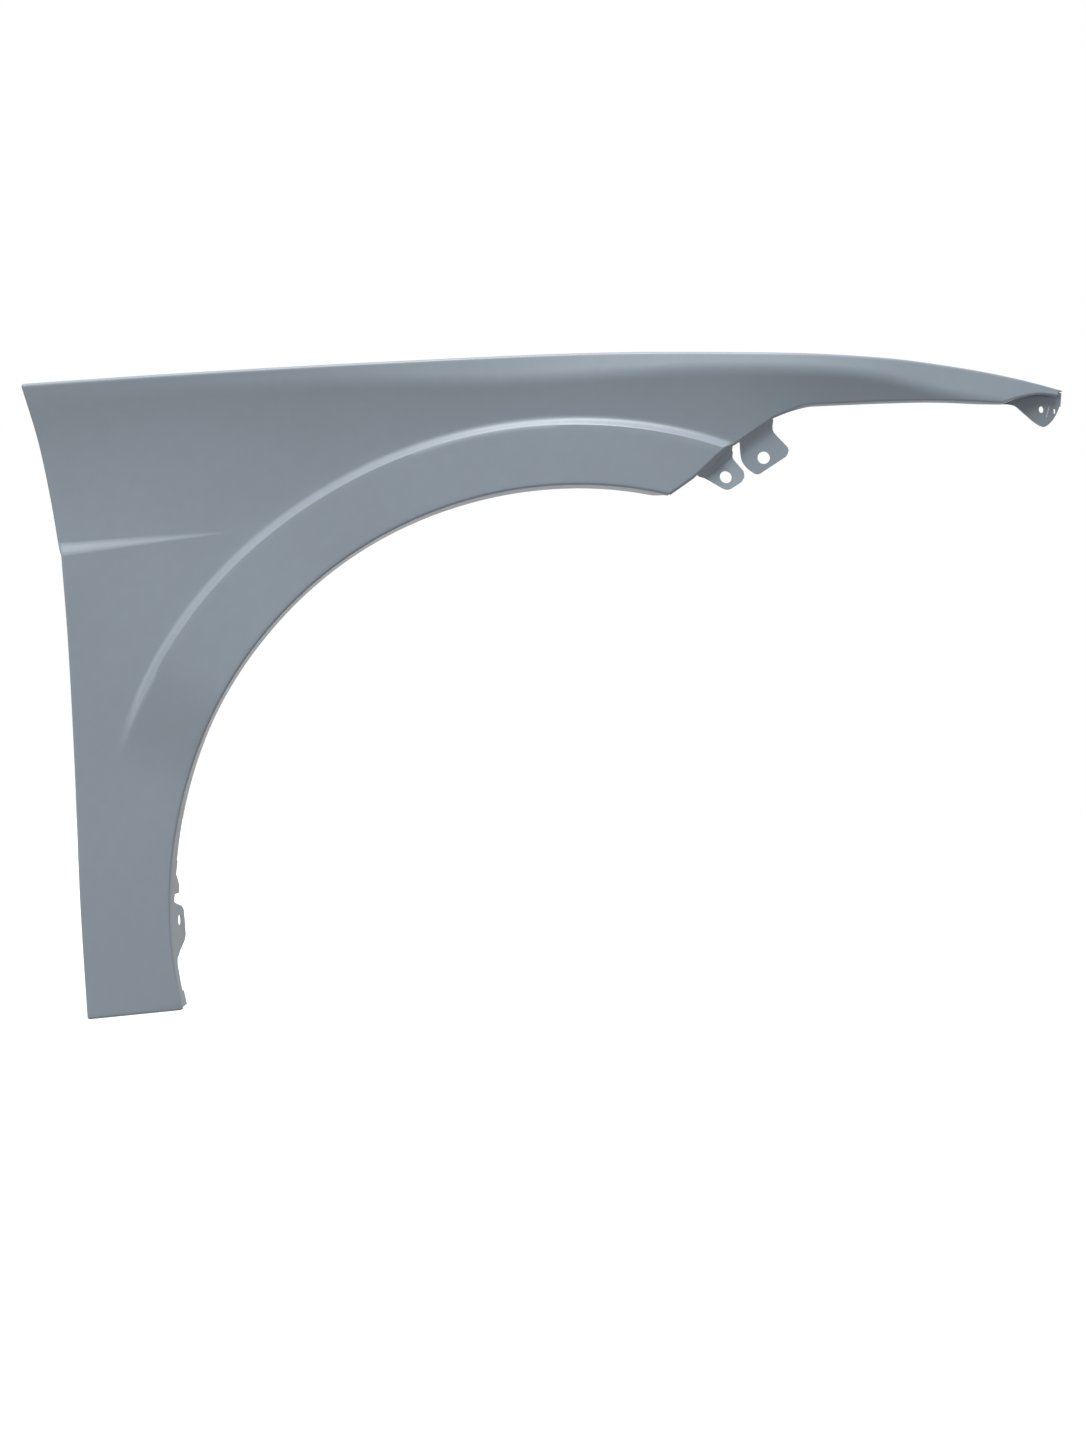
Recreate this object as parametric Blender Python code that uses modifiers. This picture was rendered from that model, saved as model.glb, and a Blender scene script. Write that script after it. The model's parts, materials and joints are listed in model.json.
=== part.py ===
"""Right front fender of a passenger car, one steel pressing with folded flanges and joggled bolt tabs.

The panel is drawn round the wheel centre and seen from its outer side: +X runs forward, +Y inboard, +Z up.
At the end it moves so that its origin is the seat of the middle bolt land on the hood rail.
A rim is always walked clockwise as seen from outside, so what lies beyond it is on the left hand.
"""

from math import atan, atan2, cos, degrees, hypot, pi, radians, sin, tan
from typing import NamedTuple

import bmesh
import bpy
from mathutils import Matrix, Vector

# From the wheel's axis ahead to the end of the skin
NOSE_REACH = 0.4505

# Sheet and folds
SHEET = 0.0008
FOLD = 0.0022
RAIL_FOLD = 0.003
NOSE_FOLD = 0.0012

# Wheel arch, with angles in degrees from straight ahead, over the top, to the foot behind the wheel
ARCH_RADIUS = 0.361
ARCH_FRONT = 76.0
ARCH_STRAIGHTENS = 150.0
ARCH_FOOT = 196.4
FOOT_OPENING = 0.0085
ARCH_FLANGE = 0.018
ARCH_DRAFT = 6.5

# Flare round the arch: its face is as wide as given at each angle, then a sloping band steps inboard
FLARE_WIDTH = (
    (70.0, 0.0527),
    (90.0, 0.0519),
    (120.0, 0.0548),
    (142.0, 0.0597),
    (160.0, 0.0615),
    (200.0, 0.0615),
)
FLARE_BAND = 0.0092
FLARE_STEP = 0.006
FLARE_FADES = 150.0
FLARE_ENDS = 165.0

# Side profile
CROWN_RISE = 0.1162
WAIST_DROP = 0.207
TUCK_CURVE = 0.115
UNDERCUT_CURVE = 0.39
NOSE_UNDERCUT = 1.5
SHOULDER_SOFTNESS = 0.006
UNDERCUT_TIGHTENS = (0.110, 0.220)
REAR_LEAN = -8.0
FRONT_LEAN = 15.0
LEAN_TURNS = (-0.420, 0.110)
SHOULDER_DROP = (
    (-0.500, 0.0450),
    (-0.337, 0.0330),
    (-0.210, 0.0260),
    (-0.070, 0.0250),
    (0.020, 0.0200),
    (0.110, 0.0142),
    (NOSE_REACH - 0.2355, 0.0140),
    (NOSE_REACH - 0.1805, 0.0175),
    (NOSE_REACH - 0.1205, 0.0285),
    (NOSE_REACH - 0.0655, 0.0335),
    (NOSE_REACH, 0.0370),
)

# Plan shape
NOSE_SWEEP = 0.149
NOSE_SWEEP_POWER = 2.4
REAR_SWEEP = 0.012
REAR_SWEEP_FROM = -0.060

# Outline of the folded edges: the top by its drop below the crown, the rear by its distance behind the arch
TOP_DROP = (
    (-0.4941, 0.0271),
    (-0.3370, 0.0175),
    (-0.1680, 0.0081),
    (0.0000, 0.0000),
    (0.1500, -0.0020),
    (NOSE_REACH - 0.1685, -0.0009),
    (NOSE_REACH - 0.0985, 0.0031),
    (NOSE_REACH - 0.0495, 0.0078),
    (NOSE_REACH, 0.0155),
)
LEG_WIDTH = (
    (-0.1155, 0.0781),
    (-0.0100, 0.0835),
    (0.1170, 0.0875),
    (0.2238, 0.0924),
)

# The same distance by the drop below the crown: at the top of the leg, then up the pillar's side
LEG_TOP = (0.1785, 0.0980)
PILLAR_WIDTH = ((0.1677, 0.1016), (0.1291, 0.1081), (0.0762, 0.1190), (0.0271, 0.1331))

# Door crease: a band that faces up, deepest at the rear edge, and runs out ahead of it
DOOR_CREASE_LENGTH = 0.155
DOOR_CREASE_RISE = 0.0098
DOOR_CREASE_STEP = 0.0045
DOOR_CREASE_FADE = 0.250

# Headlamp side: the cut's foot above the arch, and the angles where the flare's crease runs out on it
CUT_FOOT_ANGLE = 74.2
CUT_FOOT_OUT = 0.0204
CREASE_LOW_END = 71.7
CREASE_HIGH_END = 70.5

# The next two by the distance ahead of the crease's high end and the drop below the crown
CUT_SHOULDER = (0.0323, 0.0570)
SPEAR_ROOT = (0.0548, 0.0464)

# The lower edge of the spear and the front edge, by the drop below the crown
SPEAR_DROP = ((NOSE_REACH - 0.1231, 0.0371), (NOSE_REACH - 0.0604, 0.0349))
FRONT_DROP = (
    SPEAR_DROP[-1],
    (NOSE_REACH - 0.0426, 0.0278),
    (NOSE_REACH - 0.0210, 0.0222),
    (NOSE_REACH - 0.0015, 0.0220),
)
SPEAR_INSET = 1.4
SPEAR_RETURN = 0.0075
SPEAR_RETURN_TURN = 76.0
NOSE_RETURN = 0.0045
CUT_RETURN = 0.0015
CUT_TURN = 56.0

# Hood rail: over the top edge, down a wall, and out to a shelf with bolt lands
RAIL_LEDGE = 0.006
NOSE_LEDGE = 0.003
RAIL_DROP = 0.024
RAIL_START_IN = 0.009
RAIL_END = NOSE_REACH - 0.0655
REAR_LAND_IN = 0.071
INNER_LANDS = (-0.210, 0.000)
CREASE_TO_LAND = 0.0538
FRONT_LAND = NOSE_REACH - 0.1205
LAND_HALF_WIDTH = 0.022
LAND_DEPTH = 0.027
SHELF_DEPTH = 0.014
SLOT_WIDTH = 0.0085
SLOT_LENGTH = 0.013
LAND_HOLE = 0.0065
LAND_HOLE_SPACING = 0.012

# Nose tab, the rail wall carried down and ahead at the tip, by the drop of its lower edge below the crown
NOSE_TAB_DROP = (
    (NOSE_REACH - 0.0655, 0.0335),
    (NOSE_REACH - 0.0448, 0.0332),
    (NOSE_REACH - 0.0341, 0.0398),
    (NOSE_REACH - 0.0233, 0.0471),
    (NOSE_REACH - 0.0146, 0.0510),
    (NOSE_REACH - 0.0103, 0.0507),
    (NOSE_REACH - 0.0029, 0.0437),
    (NOSE_REACH + 0.0013, 0.0350),
    (NOSE_REACH + 0.0040, 0.0260),
)
NOSE_TAB_AHEAD = (0.0030, 0.0055, 0.0075)
NOSE_HOLE = 0.0062
NOSE_HOLE_AT = (NOSE_REACH - 0.0183, 0.0353)
NOSE_SLIT_AT = (NOSE_REACH - 0.0111, 0.0367)
NOSE_SLIT_SIZE = (0.0016, 0.0115)
NOSE_SLIT_TILT = 20.0
NOSE_WINDOW_AT = (NOSE_REACH - 0.0039, 0.0358)
NOSE_WINDOW_SIZE = (0.0028, 0.0040)
NOSE_LIP = 0.009
NOSE_LIP_FOLD = 0.0022

# Other folded edges
REAR_RETURN = 0.014
REAR_BOLT_TAB = 0.030
REAR_BOLT_DROP = 0.0772
REAR_BOLT_HALF_WIDTH = 0.026
REAR_BOLT_HOLE = 0.009
REAR_BOLT_HOLE_DEPTH = 0.018
BOTTOM_FLANGE = 0.020
BOTTOM_SLOTS_IN = (0.022, 0.062)
BOTTOM_SLOT_DEPTH = 0.011
BOTTOM_SLOT_LENGTH = 0.012
BOTTOM_SLOT_WIDTH = 0.0075

# Liner tabs on the arch flange behind the wheel: height above the wheel centre against depth from the fold
LINER_TAB_DEPTH = 0.056
LINER_TAB_TOP = 0.024
LINER_TAB_BOTTOM = -0.070
LINER_TRIM = (
    (0.040, 0.0195),
    (0.0145, 0.0175),
    (0.0100, 0.0235),
    (0.0050, 0.0290),
    (-0.0010, 0.0310),
    (-0.0028, 0.0300),
    (-0.0034, 0.0170),
    (-0.0100, 0.0160),
    (-0.0118, 0.0220),
    (-0.0150, 0.0400),
    (-0.0185, 0.0465),
    (-0.0300, 0.0500),
    (-0.0420, 0.0510),
    (-0.0470, 0.0460),
    (-0.0540, 0.0310),
    (-0.0610, 0.0190),
    (-0.0660, 0.0172),
    (-0.0900, 0.0195),
)
LINER_HOLE = 0.0097
LINER_HOLE_AT = (-0.0275, 0.033)


class BoltTab(NamedTuple):
    """A joggled tab: edges measured along its root, at the root, at its waist and at its tip."""

    name: str
    reach: float
    waist_at: float
    left: tuple
    right: tuple
    corner: float
    wall: float
    second_fold: float
    hole_along: float
    hole_out: float


TAB_HOLE = 0.011
BOLT_TABS = (
    BoltTab(
        name="lower",
        reach=0.0280,
        waist_at=0.0095,
        left=(-0.0020, -0.0035, 0.0010),
        right=(0.0290, 0.0252, 0.0248),
        corner=0.006,
        wall=0.006,
        second_fold=0.0022,
        hole_along=0.0091,
        hole_out=0.0156,
    ),
    BoltTab(
        name="upper",
        reach=0.0323,
        waist_at=0.0115,
        left=(-0.0020, -0.0095, -0.0085),
        right=(0.0330, 0.0281, 0.0305),
        corner=0.007,
        wall=0.001,
        second_fold=0.0110,
        hole_along=0.0074,
        hole_out=0.0219,
    ),
)

# Grid of the skin
FLARE_ROWS = 6
BAND_ROWS = 2
SIDE_RISES = (0.0, 0.15, 0.30, 0.45, 0.60, 0.75, 0.88, 1.0)
SHOULDER_RISES = (0.0, 0.32, 0.66, 1.0)
REAR_MARGIN = 0.013
LEG_DRIFT = 0.018
LEG_DRIFTS_FROM = 185.0
CORNER_GAP = 0.008
LEG_ROWS = 17
PILLAR_ROWS = 5
FAN_TO_DOOR = 132.6
FAN_TO_CORNER = 120.6
FAN_STEP = 0.6
SPEAR_GRID_AHEAD = 0.013
SPEAR_LEAST_RISE = 0.40
NOSE_GRID_FROM = NOSE_REACH - 0.0385
CORNER_STEPS = 3

COLLECTION = "car_fender"
PANEL = "fender_panel"
PAINT = (0.235, 0.275, 0.315, 1.0)


def crown():
    return ARCH_RADIUS + CROWN_RISE


def spline(knots, at):
    """Smooth curve through the knots, each a place and a value, held level past both ends."""
    if at <= knots[0][0]:
        return knots[0][1]
    if at >= knots[-1][0]:
        return knots[-1][1]
    last = len(knots) - 1
    k = next(n for n in range(last) if at <= knots[n + 1][0])

    def slope(n):
        before, after = knots[max(n - 1, 0)], knots[min(n + 1, last)]
        return (after[1] - before[1]) / (after[0] - before[0])

    (start, low), (end, high) = knots[k], knots[k + 1]
    span = end - start
    t = (at - start) / span
    rise = 3 * t * t - 2 * t**3
    lead_in = (t - 2 * t * t + t**3) * span * slope(k)
    lead_out = (t**3 - t * t) * span * slope(k + 1)
    return low + (high - low) * rise + lead_in + lead_out


def ease(start, end, at):
    """Goes smoothly from 0 at the start to 1 at the end."""
    t = min(max((at - start) / (end - start), 0.0), 1.0)
    return t * t * (3 - 2 * t)


def height_of(drop):
    return crown() - drop


def tightened(fold, x):
    """A fold's radius, which tightens where the skin runs out at the nose."""
    return fold + (NOSE_FOLD - fold) * ease(SPEAR_DROP[-1][0], NOSE_REACH, x)


def top_height(x):
    """Where the skin ends below the fold of the top edge."""
    return height_of(spline(TOP_DROP, x)) - tightened(RAIL_FOLD, x)


def shoulder_height(x):
    return height_of(spline(SHOULDER_DROP, x))


def rear_edge(z):
    """X of the rear edge: the leg below the door crease, the pillar side above it."""
    leg_top, pillar_foot = height_of(LEG_TOP[0]), height_of(PILLAR_WIDTH[0][0])
    arch = ARCH_RADIUS - FOLD
    if z <= leg_top:
        return -(arch + spline(LEG_WIDTH + ((leg_top, LEG_TOP[1]),), z))
    if z >= pillar_foot:
        return -(arch + spline([(height_of(drop), width) for drop, width in PILLAR_WIDTH], z))
    t = (z - leg_top) / (pillar_foot - leg_top)
    return -(arch + LEG_TOP[1] * (1 - t) + PILLAR_WIDTH[0][1] * t)


def rear_corner():
    """Where the rear edge meets the top edge."""
    height = top_height(rear_edge(height_of(PILLAR_WIDTH[-1][0])))
    return Vector((rear_edge(height), height))


def land_centres():
    fourth = crease_end(FLARE_BAND, CREASE_HIGH_END).x + CREASE_TO_LAND
    return (rear_corner().x + REAR_LAND_IN, *INNER_LANDS, fourth, FRONT_LAND)


def arch_radius(angle):
    """The arch is a circle that opens a little towards its foot."""
    past = max(angle - ARCH_STRAIGHTENS, 0.0) / (ARCH_FOOT - ARCH_STRAIGHTENS)
    return ARCH_RADIUS + FOLD / 2 + FOOT_OPENING * past**2


def crease_radius(angle):
    return ARCH_RADIUS + spline(FLARE_WIDTH, angle)


def ring(radius, angle):
    return Vector((radius * cos(radians(angle)), radius * sin(radians(angle))))


def crease_end(out, angle):
    """Where a line along the flare's crease runs out on the cut edge."""
    return ring(crease_radius(angle) + out, angle)


def spear_knots():
    """The spear's lower edge by its drop below the crown, from its root at the cut."""
    return ((cut_place(SPEAR_ROOT).x, SPEAR_ROOT[1]), *SPEAR_DROP)


def cut_place(beyond):
    """A place on the cut past the crease."""
    ahead, drop = beyond
    return Vector((crease_end(FLARE_BAND, CREASE_HIGH_END).x + ahead, height_of(drop)))


def side_profile(x, z):
    """Depth of the plain side: tucked under at the foot, undercut below the shoulder, leaning above it."""
    waist = height_of(WAIST_DROP)
    undercut = UNDERCUT_CURVE * (1 + (NOSE_UNDERCUT - 1) * ease(*UNDERCUT_TIGHTENS, x))
    shoulder = shoulder_height(x)
    bend = z - shoulder
    above = max(min(z, shoulder) - waist, 0.0)
    below = max(waist - z, 0.0)
    shoulder_slope = -2 * undercut * (shoulder - waist)
    lean = REAR_LEAN + (FRONT_LEAN - REAR_LEAN) * ease(*LEAN_TURNS, x)
    depth = TUCK_CURVE * below**2 - undercut * above**2
    depth += shoulder_slope * max(bend, 0.0)
    if bend >= SHOULDER_SOFTNESS:
        ramp = bend
    else:
        ramp = max(bend + SHOULDER_SOFTNESS, 0.0) ** 2 / (4 * SHOULDER_SOFTNESS)
    return depth + (tan(radians(lean)) - shoulder_slope) * ramp


def door_crease(x, z):
    """Depth that the door crease takes off: the skin below it stands proud, most at the rear edge."""
    rear = -(ARCH_RADIUS + PILLAR_WIDTH[0][1])
    reach = min(max((rear + DOOR_CREASE_LENGTH - x) / DOOR_CREASE_LENGTH, 0.0), 1.0)
    if reach == 0.0:
        return 0.0
    top = height_of(PILLAR_WIDTH[0][0]) + DOOR_CREASE_RISE * (1 - reach)
    band = (LEG_TOP[0] - PILLAR_WIDTH[0][0]) * reach**1.3
    if z >= top:
        return 0.0
    step = DOOR_CREASE_STEP * reach**1.3
    if z >= top - band:
        return step * (top - z) / band
    return step * (1 - ease(0.0, DOOR_CREASE_FADE, top - band - z))


def plan_sweep(x):
    """How far the side falls back inboard towards the nose and, much less, towards the door."""
    if x > 0:
        return NOSE_SWEEP * (x / NOSE_REACH) ** NOSE_SWEEP_POWER
    rear = -(ARCH_RADIUS + PILLAR_WIDTH[-1][1])
    return REAR_SWEEP * (max(REAR_SWEEP_FROM - x, 0.0) / (REAR_SWEEP_FROM - rear)) ** 2


def skin_depth(x, z):
    """How far inboard the outer face lies at a place on the side view."""
    angle = degrees(atan2(z, x))
    angle += 360 if angle < -90 else 0
    radius = hypot(x, z)
    crease = crease_radius(angle)
    depth = side_profile(x, z) + plan_sweep(x) - door_crease(x, z)
    proud = 1 - ease(FLARE_FADES, FLARE_ENDS, angle)
    beyond = (radius - crease) / FLARE_BAND
    if beyond >= 1 or proud == 0:
        return depth
    if beyond > 0:
        return depth - proud * FLARE_STEP * (1 - beyond) ** 1.6
    level = side_profile(x, crease * sin(radians(angle)))
    return depth + proud * (level - side_profile(x, z) - FLARE_STEP)


def on_skin(point):
    x, z = point
    return Vector((x, skin_depth(x, z), z))


class Sheet:
    """An open surface of quads. Lofts that share a section share its corners."""

    def __init__(self):
        self.mesh = bmesh.new()
        self.corners = {}

    def corner(self, place):
        key = tuple(round(value, 6) for value in place)
        if key not in self.corners:
            self.corners[key] = self.mesh.verts.new(place)
        return self.corners[key]

    def loft(self, sections):
        """Skins sections of equally many places, each further out than the one before."""
        rows = [[self.corner(place) for place in section] for section in sections]
        for near, far in zip(rows, rows[1:]):
            for k in range(len(near) - 1):
                ring_of_corners = (near[k], near[k + 1], far[k + 1], far[k])
                self.mesh.faces.new(tuple(dict.fromkeys(ring_of_corners)))


class Profile:
    """A flange's cross-section, drawn from the rim: across runs past the skin, inboard turns behind it."""

    def __init__(self, heading):
        self.heading = heading
        self.points = [(0.0, 0.0)]

    def straight(self, length, steps=1):
        for _ in range(steps):
            across, inboard = self.points[-1]
            step = length / steps
            self.points.append((across + step * cos(self.heading), inboard + step * sin(self.heading)))
        return self

    def bend(self, radius, turn, steps=2):
        """Turns by an angle in radians, inboard if it is positive."""
        chord = 2 * radius * sin(abs(turn) / (2 * steps))
        for _ in range(steps):
            self.heading += turn / (2 * steps)
            self.straight(chord)
            self.heading += turn / (2 * steps)
        return self


class RimPoint(NamedTuple):
    """A place on a rim, with the directions past the skin and inboard, and the skin's own slope there."""

    place: Vector
    across: Vector
    inboard: Vector
    heading: float

    def reach(self, across, inboard):
        return self.place + self.across * across + self.inboard * inboard


def walk_rim(points):
    """Frames along a rim that is walked clockwise."""
    places = [on_skin(point) for point in points]
    frames = []
    for k, place in enumerate(places):
        tangent = (places[min(k + 1, len(places) - 1)] - places[max(k - 1, 0)]).normalized()
        inboard = Vector((-(plan_sweep(place.x + 0.001) - plan_sweep(place.x - 0.001)) / 0.002, 1.0, 0.0))
        inboard = (inboard - tangent * inboard.dot(tangent)).normalized()
        across = tangent.cross(inboard)
        behind = place - across * 0.004
        slope = (place.y - skin_depth(behind.x, behind.z) - across.y * 0.004) / 0.004
        frames.append(RimPoint(place, across, inboard, atan(slope)))
    return frames


def rows_of(frames, profiles):
    """Rows of places, one row for each point of the profiles."""
    rows = []
    for k in range(len(profiles[0].points)):
        rows.append([frame.reach(*profile.points[k]) for frame, profile in zip(frames, profiles)])
    return rows


def sweep(sheet, frames, profiles):
    """Lofts one profile for each frame and returns its rows of places."""
    rows = rows_of(frames, profiles)
    sheet.loft(rows)
    return rows


def spaced(keys):
    """Stations between keys: each key is a value and how many steps lead from it to the next."""
    stations = []
    for (value, steps), (following, _) in zip(keys, keys[1:]):
        stations += [value + (following - value) * k / steps for k in range(steps)]
    return stations + [keys[-1][0]]


def between(start, end, rises):
    return [Vector(start).lerp(Vector(end), rise) for rise in rises]


def even(steps):
    return [k / steps for k in range(steps + 1)]


def blended_patch(low, high, left, right, rises):
    """Fills four sides: straight columns from low to high, bent to follow the left and right sides."""
    rows = []
    for j, rise in enumerate(rises):
        left_shift = left[j] - low[0].lerp(high[0], rise)
        right_shift = right[j] - low[-1].lerp(high[-1], rise)
        row = []
        for i, (start, end) in enumerate(zip(low, high)):
            along = i / (len(low) - 1)
            row.append(start.lerp(end, rise) + left_shift * (1 - along) + right_shift * along)
        rows.append(row)
    return rows


class Layout:
    """The side view's grid lines, each a list of places that run clockwise from the foot to the nose."""

    def __init__(self):
        foot_height = LEG_WIDTH[0][0] + FOLD
        self.rear_foot = Vector((rear_edge(foot_height), foot_height))
        self.arch_foot = ring(arch_radius(ARCH_FOOT), ARCH_FOOT)
        rear_top = rear_corner().y
        leg_top, pillar_foot = height_of(LEG_TOP[0]), height_of(PILLAR_WIDTH[0][0])
        rear_keys = [
            (self.rear_foot.y, 1),
            (self.rear_foot.y + CORNER_GAP, LEG_ROWS),
            (leg_top, 1),
            (pillar_foot, PILLAR_ROWS),
            (rear_top - CORNER_GAP, 1),
            (rear_top, 0),
        ]
        self.rear_count = sum(steps for _, steps in rear_keys)
        rear = [Vector((rear_edge(z), z)) for z in spaced(rear_keys)]
        land_edges = [(at + side * LAND_HALF_WIDTH) for at in land_centres() for side in (-1, 1)]
        top_keys = [(rear[-1].x, 1), (rear[-1].x + RAIL_START_IN, 1)]
        top_keys += zip(land_edges[:6], (2, 6, 2, 6, 2, 5))
        top_keys.append((crease_end(FLARE_BAND, CREASE_HIGH_END).x + SPEAR_GRID_AHEAD, 0))
        self.top = [Vector((x, top_height(x))) for x in spaced(top_keys)]
        self.outer = rear + self.top[1:]
        self.outer_count = len(self.outer) - 1
        spear_keys = [(self.top[-1].x, 4)]
        spear_keys += zip(land_edges[6:], (3, 5, 3, 2))
        spear_keys += [(RAIL_END, 3), (NOSE_GRID_FROM, 6), (NOSE_REACH - 0.0030, 1), (NOSE_REACH, 0)]
        self.spear_top = [Vector((x, top_height(x))) for x in spaced(spear_keys)]
        self.spear_count = len(self.spear_top) - 1

    def fan(self, front):
        """Angles at which the grid lines cross a ring, from the foot to the given front angle."""
        below = LEG_ROWS + 1
        keys = [
            (ARCH_FOOT, below),
            (FAN_TO_DOOR + FAN_STEP, 1),
            (FAN_TO_DOOR - FAN_STEP, self.rear_count - below - 1),
            (FAN_TO_CORNER, self.outer_count - self.rear_count),
            (front, 0),
        ]
        return spaced(keys)

    def foot_point(self, x):
        share = (self.arch_foot.x - x) / (self.arch_foot.x - self.rear_foot.x)
        return self.arch_foot.lerp(self.rear_foot, share)

    def arch(self):
        return [ring(arch_radius(angle), angle) for angle in self.fan(ARCH_FRONT)]

    def crease(self, out, front):
        """A line along the flare's crease, drifting to the middle of the leg once the crease has faded."""
        line = []
        for angle in self.fan(front):
            drift = LEG_DRIFT * ease(FLARE_ENDS, LEG_DRIFTS_FROM, angle)
            line.append(ring(crease_radius(angle) + out - drift, angle))
        return [self.foot_point(line[0].x)] + line[1:]

    def inner(self, outer):
        """A line inside the outer edge: the shoulder below the top edge, a margin along the rear edge."""
        corner = outer[self.rear_count]
        foot = self.foot_point(self.rear_foot.x + REAR_MARGIN)
        squeeze = (shoulder_height(corner.x) - foot.y) / (corner.y - self.rear_foot.y)
        line = []
        for k, point in enumerate(outer):
            if k <= self.rear_count:
                height = foot.y + (point.y - self.rear_foot.y) * squeeze
                line.append(Vector((point.x + REAR_MARGIN, height)))
            else:
                near = 1 - ease(0.0, 0.150, point.x - corner.x)
                line.append(Vector((point.x + REAR_MARGIN * near, shoulder_height(point.x))))
        return [foot] + line[1:]

    def cut(self):
        """The cut edge from the arch to the crease, one place for each row of the flare's face."""
        foot = ring(ARCH_RADIUS + CUT_FOOT_OUT, CUT_FOOT_ANGLE)
        end = crease_end(0.0, CREASE_LOW_END)
        start = ring(arch_radius(ARCH_FRONT), ARCH_FRONT)
        half = FLARE_ROWS // 2
        return between(start, foot, even(half)) + between(foot, end, even(FLARE_ROWS - half))[1:]

    def spear_low(self):
        """The cut edge past the crease, the spear's lower edge and the front edge, up to the nose."""
        end = crease_end(FLARE_BAND, CREASE_HIGH_END)
        shoulder = cut_place(CUT_SHOULDER)
        drops = spear_knots()
        root = self.spear_edge(drops[0][0], drops)
        line = [end] + between(end.lerp(shoulder, 0.08), shoulder, even(4))
        line += between(shoulder, root, even(2))[1:]
        corner, nose = SPEAR_DROP[-1][0], FRONT_DROP[-1][0]
        ahead = [point.x for point in self.spear_top if point.x > corner]
        spear = spaced([(root.x, self.spear_count - len(line) - len(ahead) + 2), (corner, 0)])
        line += [self.spear_edge(x, drops) for x in spear[1:]]
        for x in ahead[1:]:
            share = (x - ahead[0]) / (ahead[-1] - ahead[0])
            line.append(self.spear_edge(corner + (nose - corner) * share, FRONT_DROP))
        return line

    def spear_edge(self, x, drops):
        """Where the skin ends above the spear's return."""
        return Vector((x, height_of(spline(drops, x)) + SPEAR_INSET * tightened(FOLD, x)))


def press_skin(sheet, layout):
    """The outer face, in six lofts, and the rims that its flanges start from."""
    arch = layout.arch()
    crease_low = layout.crease(0.0, CREASE_LOW_END)
    crease_high = layout.crease(FLARE_BAND, CREASE_HIGH_END)
    outer = layout.outer
    inner = layout.inner(outer)
    cut = layout.cut()
    spear_low = layout.spear_low()
    spear_inner = []
    for low, high in zip(spear_low, layout.spear_top):
        height = max(shoulder_height(high.x), low.y + (high.y - low.y) * SPEAR_LEAST_RISE)
        share = (height - low.y) / (high.y - low.y)
        spear_inner.append(low.lerp(high, share))
    shift, last = inner[-1] - spear_inner[0], len(spear_inner) - 1
    spear_inner = [point + shift * (1 - k / last) for k, point in enumerate(spear_inner)]

    blocks = [
        (arch, crease_low, even(FLARE_ROWS), cut),
        (crease_low, crease_high, even(BAND_ROWS), None),
        (crease_high, inner, SIDE_RISES, None),
        (inner, outer, SHOULDER_RISES, None),
        (spear_low, spear_inner, SIDE_RISES, None),
        (spear_inner, layout.spear_top, SHOULDER_RISES, None),
    ]
    foot = []
    cut_rim = list(cut)
    for low, high, rises, right in blocks:
        left = between(low[0], high[0], rises)
        right = right or between(low[-1], high[-1], rises)
        rows = blended_patch(low, high, left, right, rises)
        sheet.loft([[on_skin(point) for point in row] for row in rows])
        if low in (arch, crease_low, crease_high, inner):
            foot += [row[0] for row in rows[1:]]
        if low is crease_low:
            cut_rim += [row[-1] for row in rows[1:]]
    return {
        "arch": arch[::-1],
        "foot": [arch[0]] + foot,
        "rear": outer[: layout.rear_count + 1],
        "top": layout.outer[layout.rear_count :] + layout.spear_top[1:],
        "front": (cut_rim[:-1] + spear_low)[::-1],
    }


def fold_corner(sheet, first, second, folds, turns):
    """A ball-shaped corner between two folds that meet at one place. The flanges beyond stay apart."""
    angle = atan2(first.across.cross(second.across).dot(first.inboard), first.across.dot(second.across))
    frames = []
    profiles = []
    for share in even(CORNER_STEPS):
        across = Matrix.Rotation(angle * share, 3, first.inboard) @ first.across
        heading = first.heading + (second.heading - first.heading) * share
        frames.append(RimPoint(first.place, across, first.inboard, heading))
    frames[-1] = second
    for share, frame in zip(even(CORNER_STEPS), frames):
        fold = folds[0] + (folds[1] - folds[0]) * share
        turn = radians(turns[0] + (turns[1] - turns[0]) * share)
        profiles.append(Profile(frame.heading).bend(fold, turn - frame.heading))
    sweep(sheet, frames, profiles)


def fold_arch(sheet, frames):
    """The flange round the wheel opening, deeper where the liner tabs are trimmed out of it."""
    profiles = []
    for frame in frames:
        low = frame.place.x < 0 and LINER_TAB_BOTTOM <= frame.place.z <= LINER_TAB_TOP
        depth = LINER_TAB_DEPTH if low else ARCH_FLANGE
        turn = radians(90 - ARCH_DRAFT) - frame.heading
        profiles.append(Profile(frame.heading).bend(FOLD, turn).straight(depth - FOLD, 2))
    sweep(sheet, frames, profiles)


def fold_rear(sheet, frames):
    """The return along the door gap, with a deeper bolt land near its top."""
    profiles = []
    for frame in frames:
        at_bolt = abs(frame.place.z - height_of(REAR_BOLT_DROP)) <= REAR_BOLT_HALF_WIDTH
        depth = REAR_BOLT_TAB if at_bolt else REAR_RETURN
        turn = radians(90) - frame.heading
        profiles.append(Profile(frame.heading).bend(FOLD, turn).straight(depth - FOLD))
    sweep(sheet, frames, profiles)


def fold_foot(sheet, frames):
    """The flange under the leg, bolted to the sill."""
    profiles = []
    for frame in frames:
        turn = radians(90) - frame.heading
        profiles.append(Profile(frame.heading).bend(FOLD, turn).straight(BOTTOM_FLANGE - FOLD))
    sweep(sheet, frames, profiles)


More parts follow.
